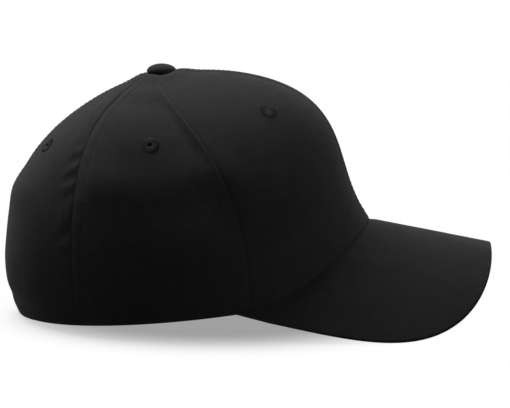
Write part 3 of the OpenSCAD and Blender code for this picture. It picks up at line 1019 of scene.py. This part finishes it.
class CAP_OT_eyelets(bpy.types.Operator):
    """Six vents worked in satin stitch: threads laid over a cord ring"""

    bl_idname = "bump_cap.eyelets"
    bl_label = "Vent Eyelets"

    def execute(self, context):
        s = sizes()
        count = sewing().satin_threads
        outer = s.eyelet_d / 2
        rows, cords = [], bmesh.new()
        for k, (rise, hole) in enumerate(zip(VENT_RISE, VENT_HOLE)):
            inner = hole * s.eyelet_bore / 2
            middle, half = (inner + outer) / 2, (outer - inner) / 2
            for _, side in SIDES:
                stand = eyelet_frame(k, side)
                ring_mesh(cords, stand, middle, half, rise)
                for i in range(count):
                    turn = math.tau * i / count
                    arc = []
                    for j in range(SATIN_STEPS + 1):
                        g = math.pi * (j / SATIN_STEPS * SATIN_SWEEP - SATIN_LEAD)
                        r = middle + half * math.cos(g)
                        z = rise * math.sin(g) + SATIN_LIFT
                        p = Vector((r * math.cos(turn), r * math.sin(turn), z)) * MM
                        arc.append(np.array(stand @ p) / MM)
                    rows.append(np.array(arc))
        cord = tool_object("vent_eyelet_cords", cords)
        tidy_normals(cord, CORD_SMOOTH)
        dress(cord, "cover", "thread", material("black_thread"), "vent_eyelets")
        thread_rows("vent_eyelet_threads", rows, "cover", "thread", **SATIN)
        return {"FINISHED"}


def ring_mesh(bm, stand, middle, half, rise, around_steps=40, section_steps=12):
    """Flattened ring with its sleeve through the cloth"""
    rows = []
    for i in range(around_steps):
        turn = math.tau * i / around_steps
        row = []
        for j in range(section_steps):
            g = math.tau * j / section_steps
            r = middle + half * math.cos(g) * CORD_REACH
            z = (rise * CORD_RISE if math.sin(g) > 0 else VENT_SLEEVE) * math.sin(g)
            row.append(bm.verts.new(stand @ (Vector((r * math.cos(turn), r * math.sin(turn), z)) * MM)))
        rows.append(row)
    for i in range(around_steps):
        a, b = rows[i], rows[(i + 1) % around_steps]
        for j in range(section_steps):
            k = (j + 1) % section_steps
            bm.faces.new((a[j], b[j], b[k], a[k]))


def lathe(name, profile, centre, segments=64):
    """Solid turned from (radius, height) points about a vertical axis; radius 0 closes an end"""
    bm = bmesh.new()
    rings = []
    for r, z in profile:
        if r == 0:
            rings.append([bm.verts.new(Vector((centre[0], centre[1], centre[2] + z)) * MM)])
            continue
        ring = []
        for i in range(segments):
            g = math.tau * i / segments
            p = Vector((centre[0] + r * math.cos(g), centre[1] + r * math.sin(g), centre[2] + z))
            ring.append(bm.verts.new(p * MM))
        rings.append(ring)
    for a, b in zip(rings, rings[1:]):
        for i in range(segments):
            k = (i + 1) % segments
            if len(a) == 1:
                bm.faces.new((a[0], b[i], b[k]))
            elif len(b) == 1:
                bm.faces.new((a[i], b[0], a[k]))
            else:
                bm.faces.new((a[i], b[i], b[k], a[k]))
    obj = tool_object(name, bm)
    tidy_normals(obj, SHARP_TURNED)
    return obj


# How far the button's cloth is set in from its rim, and at what depth below it, down to its foot
BUTTON_TUCK = ((0.05, 0.35), (0.3, 0.7), (0.8, 1.0), (1.3, 1.8), (1.7, 2.6))
BUTTON_LIFT = 1.2
DOME_STEPS = 18


class CAP_OT_button(bpy.types.Operator):
    """Covered button, with its rivet and washer inside the crown"""

    bl_idname = "bump_cap.button"
    bl_label = "Crown Button"

    def execute(self, context):
        s = sizes()
        r, h = s.button_d / 2, s.button_h
        turns = np.linspace(0, math.pi / 2, DOME_STEPS)[1:]
        dome = [(0, h)] + [(r * math.sin(g), h * math.cos(g)) for g in turns]
        tuck = [(r - inset, -drop) for inset, drop in BUTTON_TUCK] + [(0, -BUTTON_TUCK[-1][1])]
        centre = (-s.apex_back, 0, s.crown_h + BUTTON_LIFT)
        cap = lathe("button_cloth", dome + tuck, centre)
        layer = cap.data.uv_layers.new(name="cloth_mm")
        for loop in cap.data.loops:
            co = cap.data.vertices[loop.vertex_index].co / MM
            layer.data[loop.index].uv = (co.x, co.y)
        dress(cap, "cover", "cloth", material("black_twill"), "button_cap")
        for node in ("button_rivet", "button_washer"):
            paint(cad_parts[node], material("pressed_steel"))
        return {"FINISHED"}


# Visor

VISOR_COLUMNS, VISOR_ROWS = 180, 46
COLUMN_POWER, ROW_CROWDING = 0.9, 0.85
# Rows that run on under the crown, as shares of the visor's length
UNDER_CROWN = (-0.035, -0.015)
# Past the board's end the two cloths close over this many degrees of the rim, in so many columns
VISOR_CLOSE, CLOSE_COLUMNS, CLOSED_AT = 0.9, 5, 0.6
VISOR_ROLL, VISOR_ROUND = 1.3, 0.98
VISOR_MEET = (0.965, 0.99)
VISOR_TIP_LIFT = 0.4
VISOR_TUCK, VISOR_TUCK_W, VISOR_LEAST = 1.0, 1.6, 0.3
VISOR_WAVE, VISOR_WAVE_SIZE, VISOR_SEED = 0.12, 18, 4
BOARD_AIR = 0.02
SLOPE_STEP = 0.1


def visor_edge(a):
    """Outer edge of the visor at an angle of the rim"""
    s = sizes()
    turn = 90 * a / VISOR_END
    start = s.opening_l / 2 * cosd(VISOR_END)
    reach = s.opening_l / 2 + s.visor_l - start
    wide = s.opening_w / 2 * sind(VISOR_END) * (1 + VISOR_FLARE * sind(2 * np.abs(turn)))
    x = start + reach * np.abs(cosd(turn)) ** (2 / VISOR_SQUARE)
    return x, wide * np.sign(turn) * np.abs(sind(turn)) ** (2 / VISOR_SQUARE)


def visor_points(a, along, depth):
    """Points under the visor's top face, from the rim (along = 0) to the edge (along = 1)"""
    r = rim(a)
    ex, ey = visor_edge(a)
    x = r[..., 0] + (ex - r[..., 0]) * along
    y = r[..., 1] + (ey - r[..., 1]) * along
    gx = (visor_z(x + SLOPE_STEP, y) - visor_z(x - SLOPE_STEP, y)) / (2 * SLOPE_STEP)
    gy = (visor_z(x, y + SLOPE_STEP) - visor_z(x, y - SLOPE_STEP)) / (2 * SLOPE_STEP)
    up = unit(np.stack([-gx, -gy, np.ones_like(gx)], -1))
    return np.stack([x, y, visor_z(x, y)], -1) - up * depth[..., None]


def visor_grid():
    """Angles and places along the visor, closer together at its edge and its seam"""
    turn = np.linspace(-1, 1, VISOR_COLUMNS + 1)
    a = VISOR_STOP * np.sign(turn) * np.abs(turn) ** COLUMN_POWER
    past = VISOR_STOP + VISOR_CLOSE * np.arange(1, CLOSE_COLUMNS + 1) / CLOSE_COLUMNS
    a = np.concatenate([-past[::-1], a, past])
    rows = np.linspace(0, 1, VISOR_ROWS + 1)
    rows = rows - ROW_CROWDING * np.sin(math.tau * rows) / math.tau
    a, along = np.meshgrid(a, np.concatenate([UNDER_CROWN, rows]), indexing="ij")
    length = visor_edge_mm(a, np.ones_like(a))[1]
    return a, np.where(along < 0, along * sizes().visor_l / length, along)


def visor_edge_mm(a, along):
    """Distance from the visor's outer edge and from its seam, in millimetres"""
    r = rim(a)
    ex, ey = visor_edge(a)
    length = np.hypot(ex - r[..., 0], ey - r[..., 1])
    return (1 - along) * length, along * length


class CAP_OT_visor(bpy.types.Operator):
    """Visor cloths, rolled together at the edge over the board"""

    bl_idname = "bump_cap.visor"
    bl_label = "Visor"

    def execute(self, context):
        a, along = visor_grid()
        half = sizes().visor_t / 2
        to_edge, to_seam = visor_edge_mm(a, along)
        past_end = np.clip((np.abs(a) - VISOR_STOP) / VISOR_CLOSE, 0, 1)
        inset = np.maximum(np.clip(1 - to_edge / VISOR_ROLL, 0, 1), past_end)
        roll = half * rolled_off(inset, VISOR_ROUND)
        tip = (half + VISOR_TIP_LIFT) * past_end
        base = visor_points(a, along, np.zeros_like(a))
        wave = VISOR_WAVE * swell(base, VISOR_WAVE_SIZE, VISOR_SEED)
        meet = np.maximum(ease(*VISOR_MEET, along), ease(0, CLOSED_AT, past_end))
        lined = sizes().visor_cloth_t * (1 - meet) + half * meet
        tuck = np.minimum(VISOR_TUCK * bell(to_seam, VISOR_TUCK_W), lined - VISOR_LEAST)
        top = visor_points(a, along, roll + tuck - wave * (1 - inset) - tip)
        over_board = visor_points(a, along, lined - BOARD_AIR - tip)
        under_board = visor_points(a, along, 2 * half - lined - tip)
        under = visor_points(a, along, 2 * half - roll - tip)
        uv = cloth_uv(base)
        upper = sheet_object("visor_top_cloth", top, over_board, uv)
        lower = sheet_object("visor_under_cloth", under_board, under, uv)
        dress(upper, "cover", "cloth", material("visor_twill"), "visor_top_cover")
        dress(lower, "cover", "cloth", material("visor_twill"), "visor_under_cover")
        paint(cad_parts["visor_board"], material("visor_board"))
        return {"FINISHED"}


# Lining and band

BUCKRAM_ROWS, BUCKRAM_CELLS, BUCKRAM_START = 60, 24, 0.12
TAPE_STEPS, TAPE_POINTS, TAPE_SHARE, TAPE_CLEAR = 6, 70, 0.25, 0.02
# Loop patches: panel, first row and last row
LOOP_PATCHES = ((FRONT, 0.20, 0.33), (BACK, 0.27, 0.40))
LOOP_SPAN = (0.3, 0.7)
LOOP_COLUMNS, LOOP_ROWS = 18, 12
BAND_COLUMNS, BAND_ROWS = 360, 25
BAND_LEAST, BAND_SQUARE, BAND_EDGE = 0.4, 8, 0.02
BAND_SEAMS, BAND_SEAM_DENT, BAND_SEAM_W = (0.12, 0.88), 0.35, 1 / 32
BAND_SOFT, BAND_SOFT_SIZE, BAND_SEED = 0.18, 14, 31
BAND_STITCH_SUNK, BAND_STITCH_POINTS = 0.2, 500


class CAP_OT_lining(bpy.types.Operator):
    """Buckram, seam tapes and loop patches inside the crown"""

    bl_idname = "bump_cap.lining"
    bl_label = "Lining"

    def execute(self, context):
        s = sizes()
        edge = s.tape_w / 2
        steps = (0, 2, 4, 6, edge)
        f, t = panel_places(FRONT, BUCKRAM_ROWS, BUCKRAM_CELLS, steps, BUCKRAM_START)
        inside = slice(len(steps) - 1, f.shape[0] - len(steps) + 1)
        for side_name, side in SIDES:
            node = f"front_buckram_{side_name}"
            obj = layer_object(f"{node}_cloth", FRONT, side, f[inside], t[inside], s.panel_t, s.buckram_t)
            dress(obj, "cover", "buckram", material("lining_cloth"), node)
            for k, name in ((1, "front_side_tape"), (2, "side_back_tape")):
                obj = self.tape(f"{name}_{side_name}_cloth", k, side)
                dress(obj, "cover", "tape", material("lining_cloth"), f"{name}_{side_name}")
        for k, name in ((0, "front_seam_tape"), (3, "back_seam_tape")):
            dress(self.tape(f"{name}_cloth", k, 1), "cover", "tape", material("lining_cloth"), name)
        self.loops()
        return {"FINISHED"}

    def tape(self, name, k, side):
        """Tape over seam k, half on the panel before it and half on the panel after it"""
        s = sizes()
        steps = np.linspace(0, s.tape_w / 2, TAPE_STEPS)
        t = np.linspace(*TAPE_ROWS[k], TAPE_POINTS)
        columns = {}
        top = s.panel_t + s.layer_air
        for depth in (top, top + s.tape_t):
            before, after = [], []
            for step in steps:
                if k > 0:
                    shift = np.minimum(step / panel_width(k - 1, t), TAPE_SHARE)
                    before.append(place(k - 1, 1 - shift, t, np.zeros_like(t) + depth, side))
                if k < 3:
                    shift = np.minimum(step / panel_width(k, t), TAPE_SHARE)
                    after.append(place(k, shift, t, np.zeros_like(t) + depth, side))
            mirror = np.array((1, -1, 1))
            if k == 0:
                before = [p * mirror for p in after]
            if k == 3:
                after = [p * mirror for p in before]
            columns[depth] = np.array(before[:0:-1] + after)
        outer, inner = columns.values()
        return sheet_object(name, outer, inner, cloth_uv(outer))

    def loops(self):
        s = sizes()
        parts = []
        for k, low, high in LOOP_PATCHES:
            for _, side in SIDES:
                across, down = np.linspace(*LOOP_SPAN, LOOP_COLUMNS), np.linspace(low, high, LOOP_ROWS)
                f, t = np.meshgrid(across, down, indexing="ij")
                depth = s.panel_t + (s.buckram_t if k == FRONT else 0)
                parts.append(layer_object("loop_patch", k, side, f, t, depth, s.pile_t))
        obj = joined("crown_loop_pile", parts)
        dress(obj, "cover", "pile", material("hook_pile"), "crown_loop_patches")


def joined(name, parts):
    """One object from several, with its mesh at the origin"""
    bm = bmesh.new()
    for p in parts:
        bm.from_mesh(p.data)
        bpy.data.objects.remove(p)
    obj = tool_object(name, bm)
    obj.data.shade_smooth()
    obj.data.set_sharp_from_angle(angle=math.radians(SHARP_EDGE))
    return obj


def lining_depth(angle, t):
    """How far the lining of the panels reaches under the smooth crown, at angles from 0 to 360"""
    s = sizes()
    fold = np.where(angle > 180, 360 - angle, angle)
    depth = np.zeros_like(t)
    for k in range(3):
        for side, here in ((1, angle <= 180), (-1, angle > 180)):
            pick = here & (seam(k, t) <= fold) & (fold <= seam(k + 1, t))
            down = t[pick]
            f = (fold[pick] - seam(k, down)) / (seam(k + 1, down) - seam(k, down))
            depth[pick] = -panel_lift(k, f, down, side, crown(angle[pick], down))
    taped = (3 * s.layer_air + s.tape_t) * (t < TAPE_ROWS[BACK + 1][1] + TAPE_CLEAR)
    return depth + s.panel_t + taped + s.layer_air


class CAP_OT_sweatband(bpy.types.Operator):
    """Soft band round the head opening, sewn along its lower edge"""

    bl_idname = "bump_cap.sweatband"
    bl_label = "Sweatband"

    def execute(self, context):
        s = sizes()
        a = np.linspace(0, 360, BAND_COLUMNS + 1)[:-1]
        angle, f = np.meshgrid(a, np.linspace(0, 1, BAND_ROWS), indexing="ij")
        t = around(BAND_TOP, angle) * (1 - f) + BAND_FOOT * f
        out = s.panel_t + max(s.buckram_t, s.layer_air + s.tape_t) + 2 * s.layer_air
        base, normal = crown(angle, t), outward(angle, t)
        full = s.band_t * np.sqrt(np.clip(1 - (2 * f - 1) ** BAND_SQUARE, BAND_EDGE, 1))
        seam_line = BAND_SEAM_DENT * sum(bell(f - line, BAND_SEAM_W) for line in BAND_SEAMS)
        soft = BAND_SOFT * swell(base, BAND_SOFT_SIZE, BAND_SEED)
        middle = out + s.band_t / 2
        low = np.maximum(middle - full / 2, lining_depth(angle, t))
        high = np.maximum(middle + full / 2 - seam_line + soft, low + np.minimum(full, BAND_LEAST))
        outer, inner = base - normal * low[..., None], base - normal * high[..., None]
        obj = sheet_object("sweatband_cloth", outer, inner, cloth_uv(outer), wrap=True)
        dress(obj, "cover", "band", material("band_cloth"), "sweatband")
        rows = []
        for line in BAND_SEAMS:
            ring = np.linspace(0, 360, BAND_STITCH_POINTS)
            t = around(BAND_TOP, ring) * (1 - line) + BAND_FOOT * line
            rows.append(crown(ring, t) - outward(ring, t) * (out + s.band_t - BAND_STITCH_SUNK))
        thread_rows("sweatband_stitches", rows, "cover", "thread")
        return {"FINISHED"}


# Insert

DOME_COLUMNS, DOME_ROWS = 144, 48
DOME_ROLL = 0.03
PATCH_COLUMNS, PATCH_ROWS = 20, 14
SHELL_ROUND, FOAM_ROUND = 0.9, 2.4
# Slots round the button: count, both ends from the button, radius and heights from it
SLOTS, SLOT_ENDS, SLOT_R, SLOT_Z = 4, (42, 20), 4, (-60, 20)
# Round holes over the rim and slits between the petals share their angles; cutters stay clear of each other
HOLES, HOLE_R, HOLE_START, HOLE_SIDES = 8, 5, 62, 32
SLIT_R, SLIT_ENDS, SLIT_Z = 3.0, (51.0, 120.0), (-5, 150)
ROUND_STEPS = 12


def insert_points(a, t, depth):
    """Points under the outer face of the insert, which keeps clear of the crown"""
    s = sizes()
    p = crown(a, t)
    gap = s.panel_t + s.buckram_t + 2 * s.pile_t + s.air - PUFF_USED * s.puff
    gap = gap + APEX_GAP * (1 - ease(*APEX_GAP_ROWS, t)) + around(INSERT_TUCK, a) * ease(*INSERT_TUCK_ROWS, t)
    return p - unit(p - INSERT_CORE) * (gap + depth)[..., None]


def dome_object(name, depth, thick, edge_round):
    """Dome between two depths of the insert, closed at the top and rounded at its edge"""
    columns, rows = DOME_COLUMNS, DOME_ROWS
    a = np.linspace(0, 360, columns + 1)[:-1]
    angle, j = np.meshgrid(a, np.linspace(0, 1, rows + 1)[1:], indexing="ij")
    t = around(INSERT_FOOT, angle) * j
    roll = edge_round * rolled_off(np.clip(1 - (1 - j) / DOME_ROLL, 0, 1))
    outer = insert_points(angle, t, depth + roll)
    inner = insert_points(angle, t, depth + thick - roll)
    zero = np.zeros(1)
    tops = [insert_points(zero, zero, zero + d)[0] for d in (depth, depth + thick)]
    m, half = rows, columns * rows
    skin = grid_faces(columns, m, True)
    back = [tuple(v + half for v in reversed(f)) for f in skin]
    walls, fans = [], []
    for i in range(columns):
        k = (i + 1) % columns
        walls.append((i * m + m - 1, k * m + m - 1, k * m + m - 1 + half, i * m + m - 1 + half))
        fans.append((2 * half, k * m, i * m))
        fans.append((2 * half + 1, i * m + half, k * m + half))
    points = np.concatenate([outer.reshape(-1, 3), inner.reshape(-1, 3), tops])
    obj = mesh_object(name, points, skin + back + walls + fans)
    tidy_normals(obj, SHARP_TURNED)
    return obj


def insert_patches(name, spans, depth, thick):
    """Patches on the insert: (first angle, last angle, first row, last row)"""
    parts = []
    for a0, a1, j0, j1 in spans:
        across, down = np.linspace(a0, a1, PATCH_COLUMNS), np.linspace(j0, j1, PATCH_ROWS)
        angle, j = np.meshgrid(across, down, indexing="ij")
        t = around(INSERT_FOOT, angle) * j
        outer = insert_points(angle, t, np.zeros_like(t) + depth)
        inner = insert_points(angle, t, np.zeros_like(t) + depth + thick)
        parts.append(sheet_object("patch", outer, inner, cloth_uv(outer)))
    return joined(name, parts)


SHELL_SPANS = tuple(
    span
    for a0, a1, j0, j1 in ((30, 60, 3 / 12, 5 / 12), (142.5, 165, 4 / 12, 6 / 12))
    for span in ((a0, a1, j0, j1), (-a1, -a0, j0, j1))
)
LINER_SPANS = tuple((90 * q - 7.5, 90 * q + 7.5, 5 / 12, 7 / 12) for q in range(4))


def prism(bm, outline, heights, stand):
    """Upright solid over an outline, between two heights, in millimetres"""
    low, high = ([bm.verts.new(stand @ (Vector((x, y, z)) * MM)) for x, y in outline] for z in heights)
    bm.faces.new(reversed(low))
    bm.faces.new(high)
    for i in range(len(outline)):
        k = (i + 1) % len(outline)
        bm.faces.new((low[i], low[k], high[k], high[i]))


def hole_turns():
    """Turns about the middle of the insert, one for each round hole and slit"""
    return [Matrix.Rotation(math.tau * (i + 0.5) / HOLES, 4, "Z") for i in range(HOLES)]


def vent_tools():
    """Cutters of the shell's vents: slots round the button and round holes above its rim"""
    s = sizes()
    bm = bmesh.new()
    button = Matrix.Translation(Vector((-s.apex_back, 0, s.crown_h)) * MM)
    slot = []
    for end, start in zip(SLOT_ENDS, (-90, 90)):
        for i in range(ROUND_STEPS + 1):
            g = math.radians(start + 180 * i / ROUND_STEPS)
            slot.append((end + SLOT_R * math.cos(g), SLOT_R * math.sin(g)))
    for q in range(SLOTS):
        prism(bm, slot, SLOT_Z, button @ Matrix.Rotation(math.tau * q / SLOTS, 4, "Z"))
    start, end, r = HOLE_START * MM, s.opening_l / 2 * MM, HOLE_R * MM
    middle = Matrix.Translation(Vector((INSERT_CORE[0], 0, s.crown_h / 2)) * MM)
    lying = Matrix.Translation(Vector(((start + end) / 2, 0, 0))) @ Matrix.Rotation(math.pi / 2, 4, "Y")
    for turn in hole_turns():
        bmesh.ops.create_cone(
            bm,
            cap_ends=True,
            segments=HOLE_SIDES,
            radius1=r,
            radius2=r,
            depth=end - start,
            matrix=middle @ turn @ lying,
        )
    bmesh.ops.recalc_face_normals(bm, faces=bm.faces)
    return tool_object("vent_tools", bm)


def slit_tools():
    """Cutters of the slits between the petals: upright slots with a round inner end"""
    bm = bmesh.new()
    start, end = SLIT_ENDS
    outline = [(end, -SLIT_R), (end, SLIT_R)]
    for g in np.linspace(0, math.pi, ROUND_STEPS + 1):
        outline.append((start - SLIT_R * math.sin(g), SLIT_R * math.cos(g)))
    middle = Matrix.Translation(Vector((INSERT_CORE[0], 0, 0)) * MM)
    for turn in hole_turns():
        prism(bm, outline, SLIT_Z, middle @ turn)
    bmesh.ops.recalc_face_normals(bm, faces=bm.faces)
    return tool_object("petal_slits", bm)


class CAP_OT_shell(bpy.types.Operator):
    """Moulded shell with its vents and its hook patches"""

    bl_idname = "bump_cap.shell"
    bl_label = "Protective Shell"

    def execute(self, context):
        s = sizes()
        shell = dome_object("shell_moulding", 0, s.shell_t, SHELL_ROUND)
        cut(shell, vent_tools())
        dress(shell, "shell", "shell", material("moulded_shell"), "insert_shell")
        hooks = insert_patches("shell_hook_pile", SHELL_SPANS, -s.pile_t, s.pile_t)
        dress(hooks, "shell", "pile", material("hook_pile"), "shell_hook_patches")
        inner = insert_patches("shell_inner_pile", LINER_SPANS, s.shell_t, s.pile_t)
        dress(inner, "shell", "pile", material("hook_pile"), "shell_inner_patches")
        return {"FINISHED"}


class CAP_OT_liner(bpy.types.Operator):
    """Foam liner slit into petals, with its loop patches"""

    bl_idname = "bump_cap.liner"
    bl_label = "Foam Liner"

    def execute(self, context):
        s = sizes()
        depth = s.shell_t + 2 * s.pile_t + s.air
        foam = dome_object("foam_liner_pad", depth, s.foam_t, FOAM_ROUND)
        cut(foam, slit_tools())
        dress(foam, "liner", "foam", material("closed_foam"), "foam_liner")
        loops = insert_patches("liner_loop_pile", LINER_SPANS, depth - s.pile_t, s.pile_t)
        dress(loops, "liner", "pile", material("hook_pile"), "liner_loop_patches")
        return {"FINISHED"}


# Stage

CAMERA_TARGET = Vector((0.040, 0.0, 0.075))
CAMERA_DISTANCE = 1.2
CAMERA_AZIMUTH = 4.5
CAMERA_ELEVATION = 8.93
SENSOR_W = 36
PHOTO_WIDTH = 510
FOCAL_PX = 1997
AXIS_OFFSET_PX = (5.7, 14.8)
FLOOR_BOUNCE = 0.08
SHADOW_MIDDLE = Vector((0.01, 0.0, 0.0))
SHADOW_HALF = Vector((0.112, 0.088, 1.0))
SHADOW_FADE = (0.7, 1.45, 0.35, 1.0)
FLOOR_R, FLOOR_SIDES = 6, 96
WORLD_LIGHT = 0.06
# Lamps: name, place, aim, size and power
LAMPS = (
    ("overhead", (-0.95, 1.17, 2.9), (0.03, 0.1, 0), (2.3, 2.3), 125),
    ("front_fill", (2.3, -0.2, 0.8), (0.05, 0, 0.08), (1.2, 1.2), 7.6),
)


def seen_directly(tree):
    """1 for rays from the camera, straight or by way of gloss or glass, and 0 for scattered light"""
    path = node_in(tree, "ShaderNodeLightPath")
    gloss = math_node(tree, "MAXIMUM", path.outputs["Is Glossy Ray"], path.outputs["Is Transmission Ray"])
    return math_node(tree, "MAXIMUM", path.outputs["Is Camera Ray"], gloss)


def floor_material():
    """White floor that keeps a soft shadow round the cap and scatters little light back"""
    mat, tree, shader = new_material("studio_floor")
    shader.inputs["Roughness"].default_value = 1.0
    shader.inputs["Specular IOR Level"].default_value = 0.0
    direct = seen_directly(tree)
    colour = node_in(tree, "ShaderNodeMix", data_type="RGBA")
    link(tree, direct, colour.inputs["Factor"])
    colour.inputs["A"].default_value = (*[FLOOR_BOUNCE * c for c in looks().floor], 1)
    colour.inputs["B"].default_value = (*looks().floor, 1)
    link(tree, colour.outputs["Result"], shader.inputs["Base Color"])
    white = node_in(tree, "ShaderNodeEmission")
    coords = node_in(tree, "ShaderNodeTexCoord")
    under = node_in(tree, "ShaderNodeMapping", vector_type="TEXTURE")
    under.inputs["Location"].default_value = SHADOW_MIDDLE
    under.inputs["Scale"].default_value = SHADOW_HALF
    link(tree, coords.outputs["Object"], under.inputs["Vector"])
    reach = node_in(tree, "ShaderNodeVectorMath", operation="LENGTH")
    link(tree, under.outputs["Vector"], reach.inputs[0])
    fade = node_in(tree, "ShaderNodeMapRange", interpolation_type="SMOOTHSTEP")
    for label, value in zip(("From Min", "From Max", "To Min", "To Max"), SHADOW_FADE):
        fade.inputs[label].default_value = value
    link(tree, reach.outputs["Value"], fade.inputs["Value"])
    lit = node_in(tree, "ShaderNodeMixShader")
    link(tree, math_node(tree, "MULTIPLY", fade.outputs["Result"], direct), lit.inputs[0])
    link(tree, shader.outputs[0], lit.inputs[1])
    link(tree, white.outputs[0], lit.inputs[2])
    clear = node_in(tree, "ShaderNodeBsdfTransparent")
    geometry = node_in(tree, "ShaderNodeNewGeometry")
    mix = node_in(tree, "ShaderNodeMixShader")
    link(tree, geometry.outputs["Backfacing"], mix.inputs[0])
    link(tree, lit.outputs[0], mix.inputs[1])
    link(tree, clear.outputs[0], mix.inputs[2])
    link(tree, mix.outputs[0], tree.nodes["Material Output"].inputs["Surface"])
    return mat


def area_light(name, place, aim, size, power):
    data = bpy.data.lights.new(name, "AREA")
    data.shape = "RECTANGLE"
    data.size, data.size_y = size
    data.energy = power
    obj = linked(name, data)
    obj.location = place
    obj.rotation_euler = (Vector(aim) - Vector(place)).to_track_quat("-Z", "Y").to_euler()


class CAP_OT_stage(bpy.types.Operator):
    """Pale floor, soft light and the camera"""

    bl_idname = "bump_cap.stage"
    bl_label = "Stage"

    def execute(self, context):
        scene = context.scene
        scene.view_settings.view_transform = "Standard"
        bpy.ops.mesh.primitive_circle_add(
            vertices=FLOOR_SIDES, radius=FLOOR_R, fill_type="NGON", location=(0, 0, 0)
        )
        floor = context.object
        floor.name = "studio_floor"
        paint(floor, floor_material())
        self.world(scene)
        for lamp in LAMPS:
            area_light(*lamp)
        self.camera(scene)
        return {"FINISHED"}

    def world(self, scene):
        world = bpy.data.worlds.new("studio")
        scene.world = world
        world.use_nodes = True
        tree = world.node_tree
        light = tree.nodes["Background"]
        light.inputs["Color"].default_value = (1, 1, 1, 1)
        light.inputs["Strength"].default_value = WORLD_LIGHT
        white = node_in(tree, "ShaderNodeBackground")
        white.inputs["Strength"].default_value = 1
        mix = node_in(tree, "ShaderNodeMixShader")
        link(tree, seen_directly(tree), mix.inputs[0])
        link(tree, light.outputs[0], mix.inputs[1])
        link(tree, white.outputs[0], mix.inputs[2])
        link(tree, mix.outputs[0], tree.nodes["World Output"].inputs["Surface"])

    def camera(self, scene):
        a, e = math.radians(CAMERA_AZIMUTH), math.radians(CAMERA_ELEVATION)
        back = Vector((math.sin(a) * math.cos(e), -math.cos(a) * math.cos(e), math.sin(e)))
        data = bpy.data.cameras.new("photo_camera")
        data.sensor_width = SENSOR_W
        data.lens = FOCAL_PX / PHOTO_WIDTH * data.sensor_width
        data.shift_x = -AXIS_OFFSET_PX[0] / PHOTO_WIDTH
        data.shift_y = -AXIS_OFFSET_PX[1] / PHOTO_WIDTH
        obj = linked("photo_camera", data)
        obj.location = CAMERA_TARGET + back * CAMERA_DISTANCE
        obj.rotation_euler = back.to_track_quat("Z", "Y").to_euler()
        scene.camera = obj


STEPS = (
    CAP_OT_panels,
    CAP_OT_topstitch,
    CAP_OT_eyelets,
    CAP_OT_button,
    CAP_OT_visor,
    CAP_OT_lining,
    CAP_OT_sweatband,
    CAP_OT_shell,
    CAP_OT_liner,
    CAP_OT_stage,
)


class CAP_PT_sidebar(bpy.types.Panel):
    """Lists the steps and the values they read"""

    bl_idname = "CAP_PT_sidebar"
    bl_label = "Bump Cap"
    bl_space_type = "VIEW_3D"
    bl_region_type = "UI"
    bl_category = "Bump Cap"

    def draw(self, context):
        for step in STEPS:
            self.layout.operator(step.bl_idname)
        for group in (context.scene.cap_sizes, context.scene.cap_sewing, context.scene.cap_looks):
            column = self.layout.column(heading=group.bl_rna.name)
            for key in group.bl_rna.properties.keys():
                if key not in ("rna_type", "name"):
                    column.prop(group, key)


CLASSES = (CapSizes, CapSewing, CapLooks, *STEPS, CAP_PT_sidebar)


def register():
    for cls in CLASSES:
        bpy.utils.register_class(cls)
    bpy.types.Scene.cap_sizes = PointerProperty(type=CapSizes)
    bpy.types.Scene.cap_sewing = PointerProperty(type=CapSewing)
    bpy.types.Scene.cap_looks = PointerProperty(type=CapLooks)


def unregister():
    del bpy.types.Scene.cap_looks
    del bpy.types.Scene.cap_sewing
    del bpy.types.Scene.cap_sizes
    for cls in reversed(CLASSES):
        bpy.utils.unregister_class(cls)


def main():
    register()
    for step in STEPS:
        area, action = step.bl_idname.split(".")
        getattr(getattr(bpy.ops, area), action)()


if __name__ == "__main__":
    main()
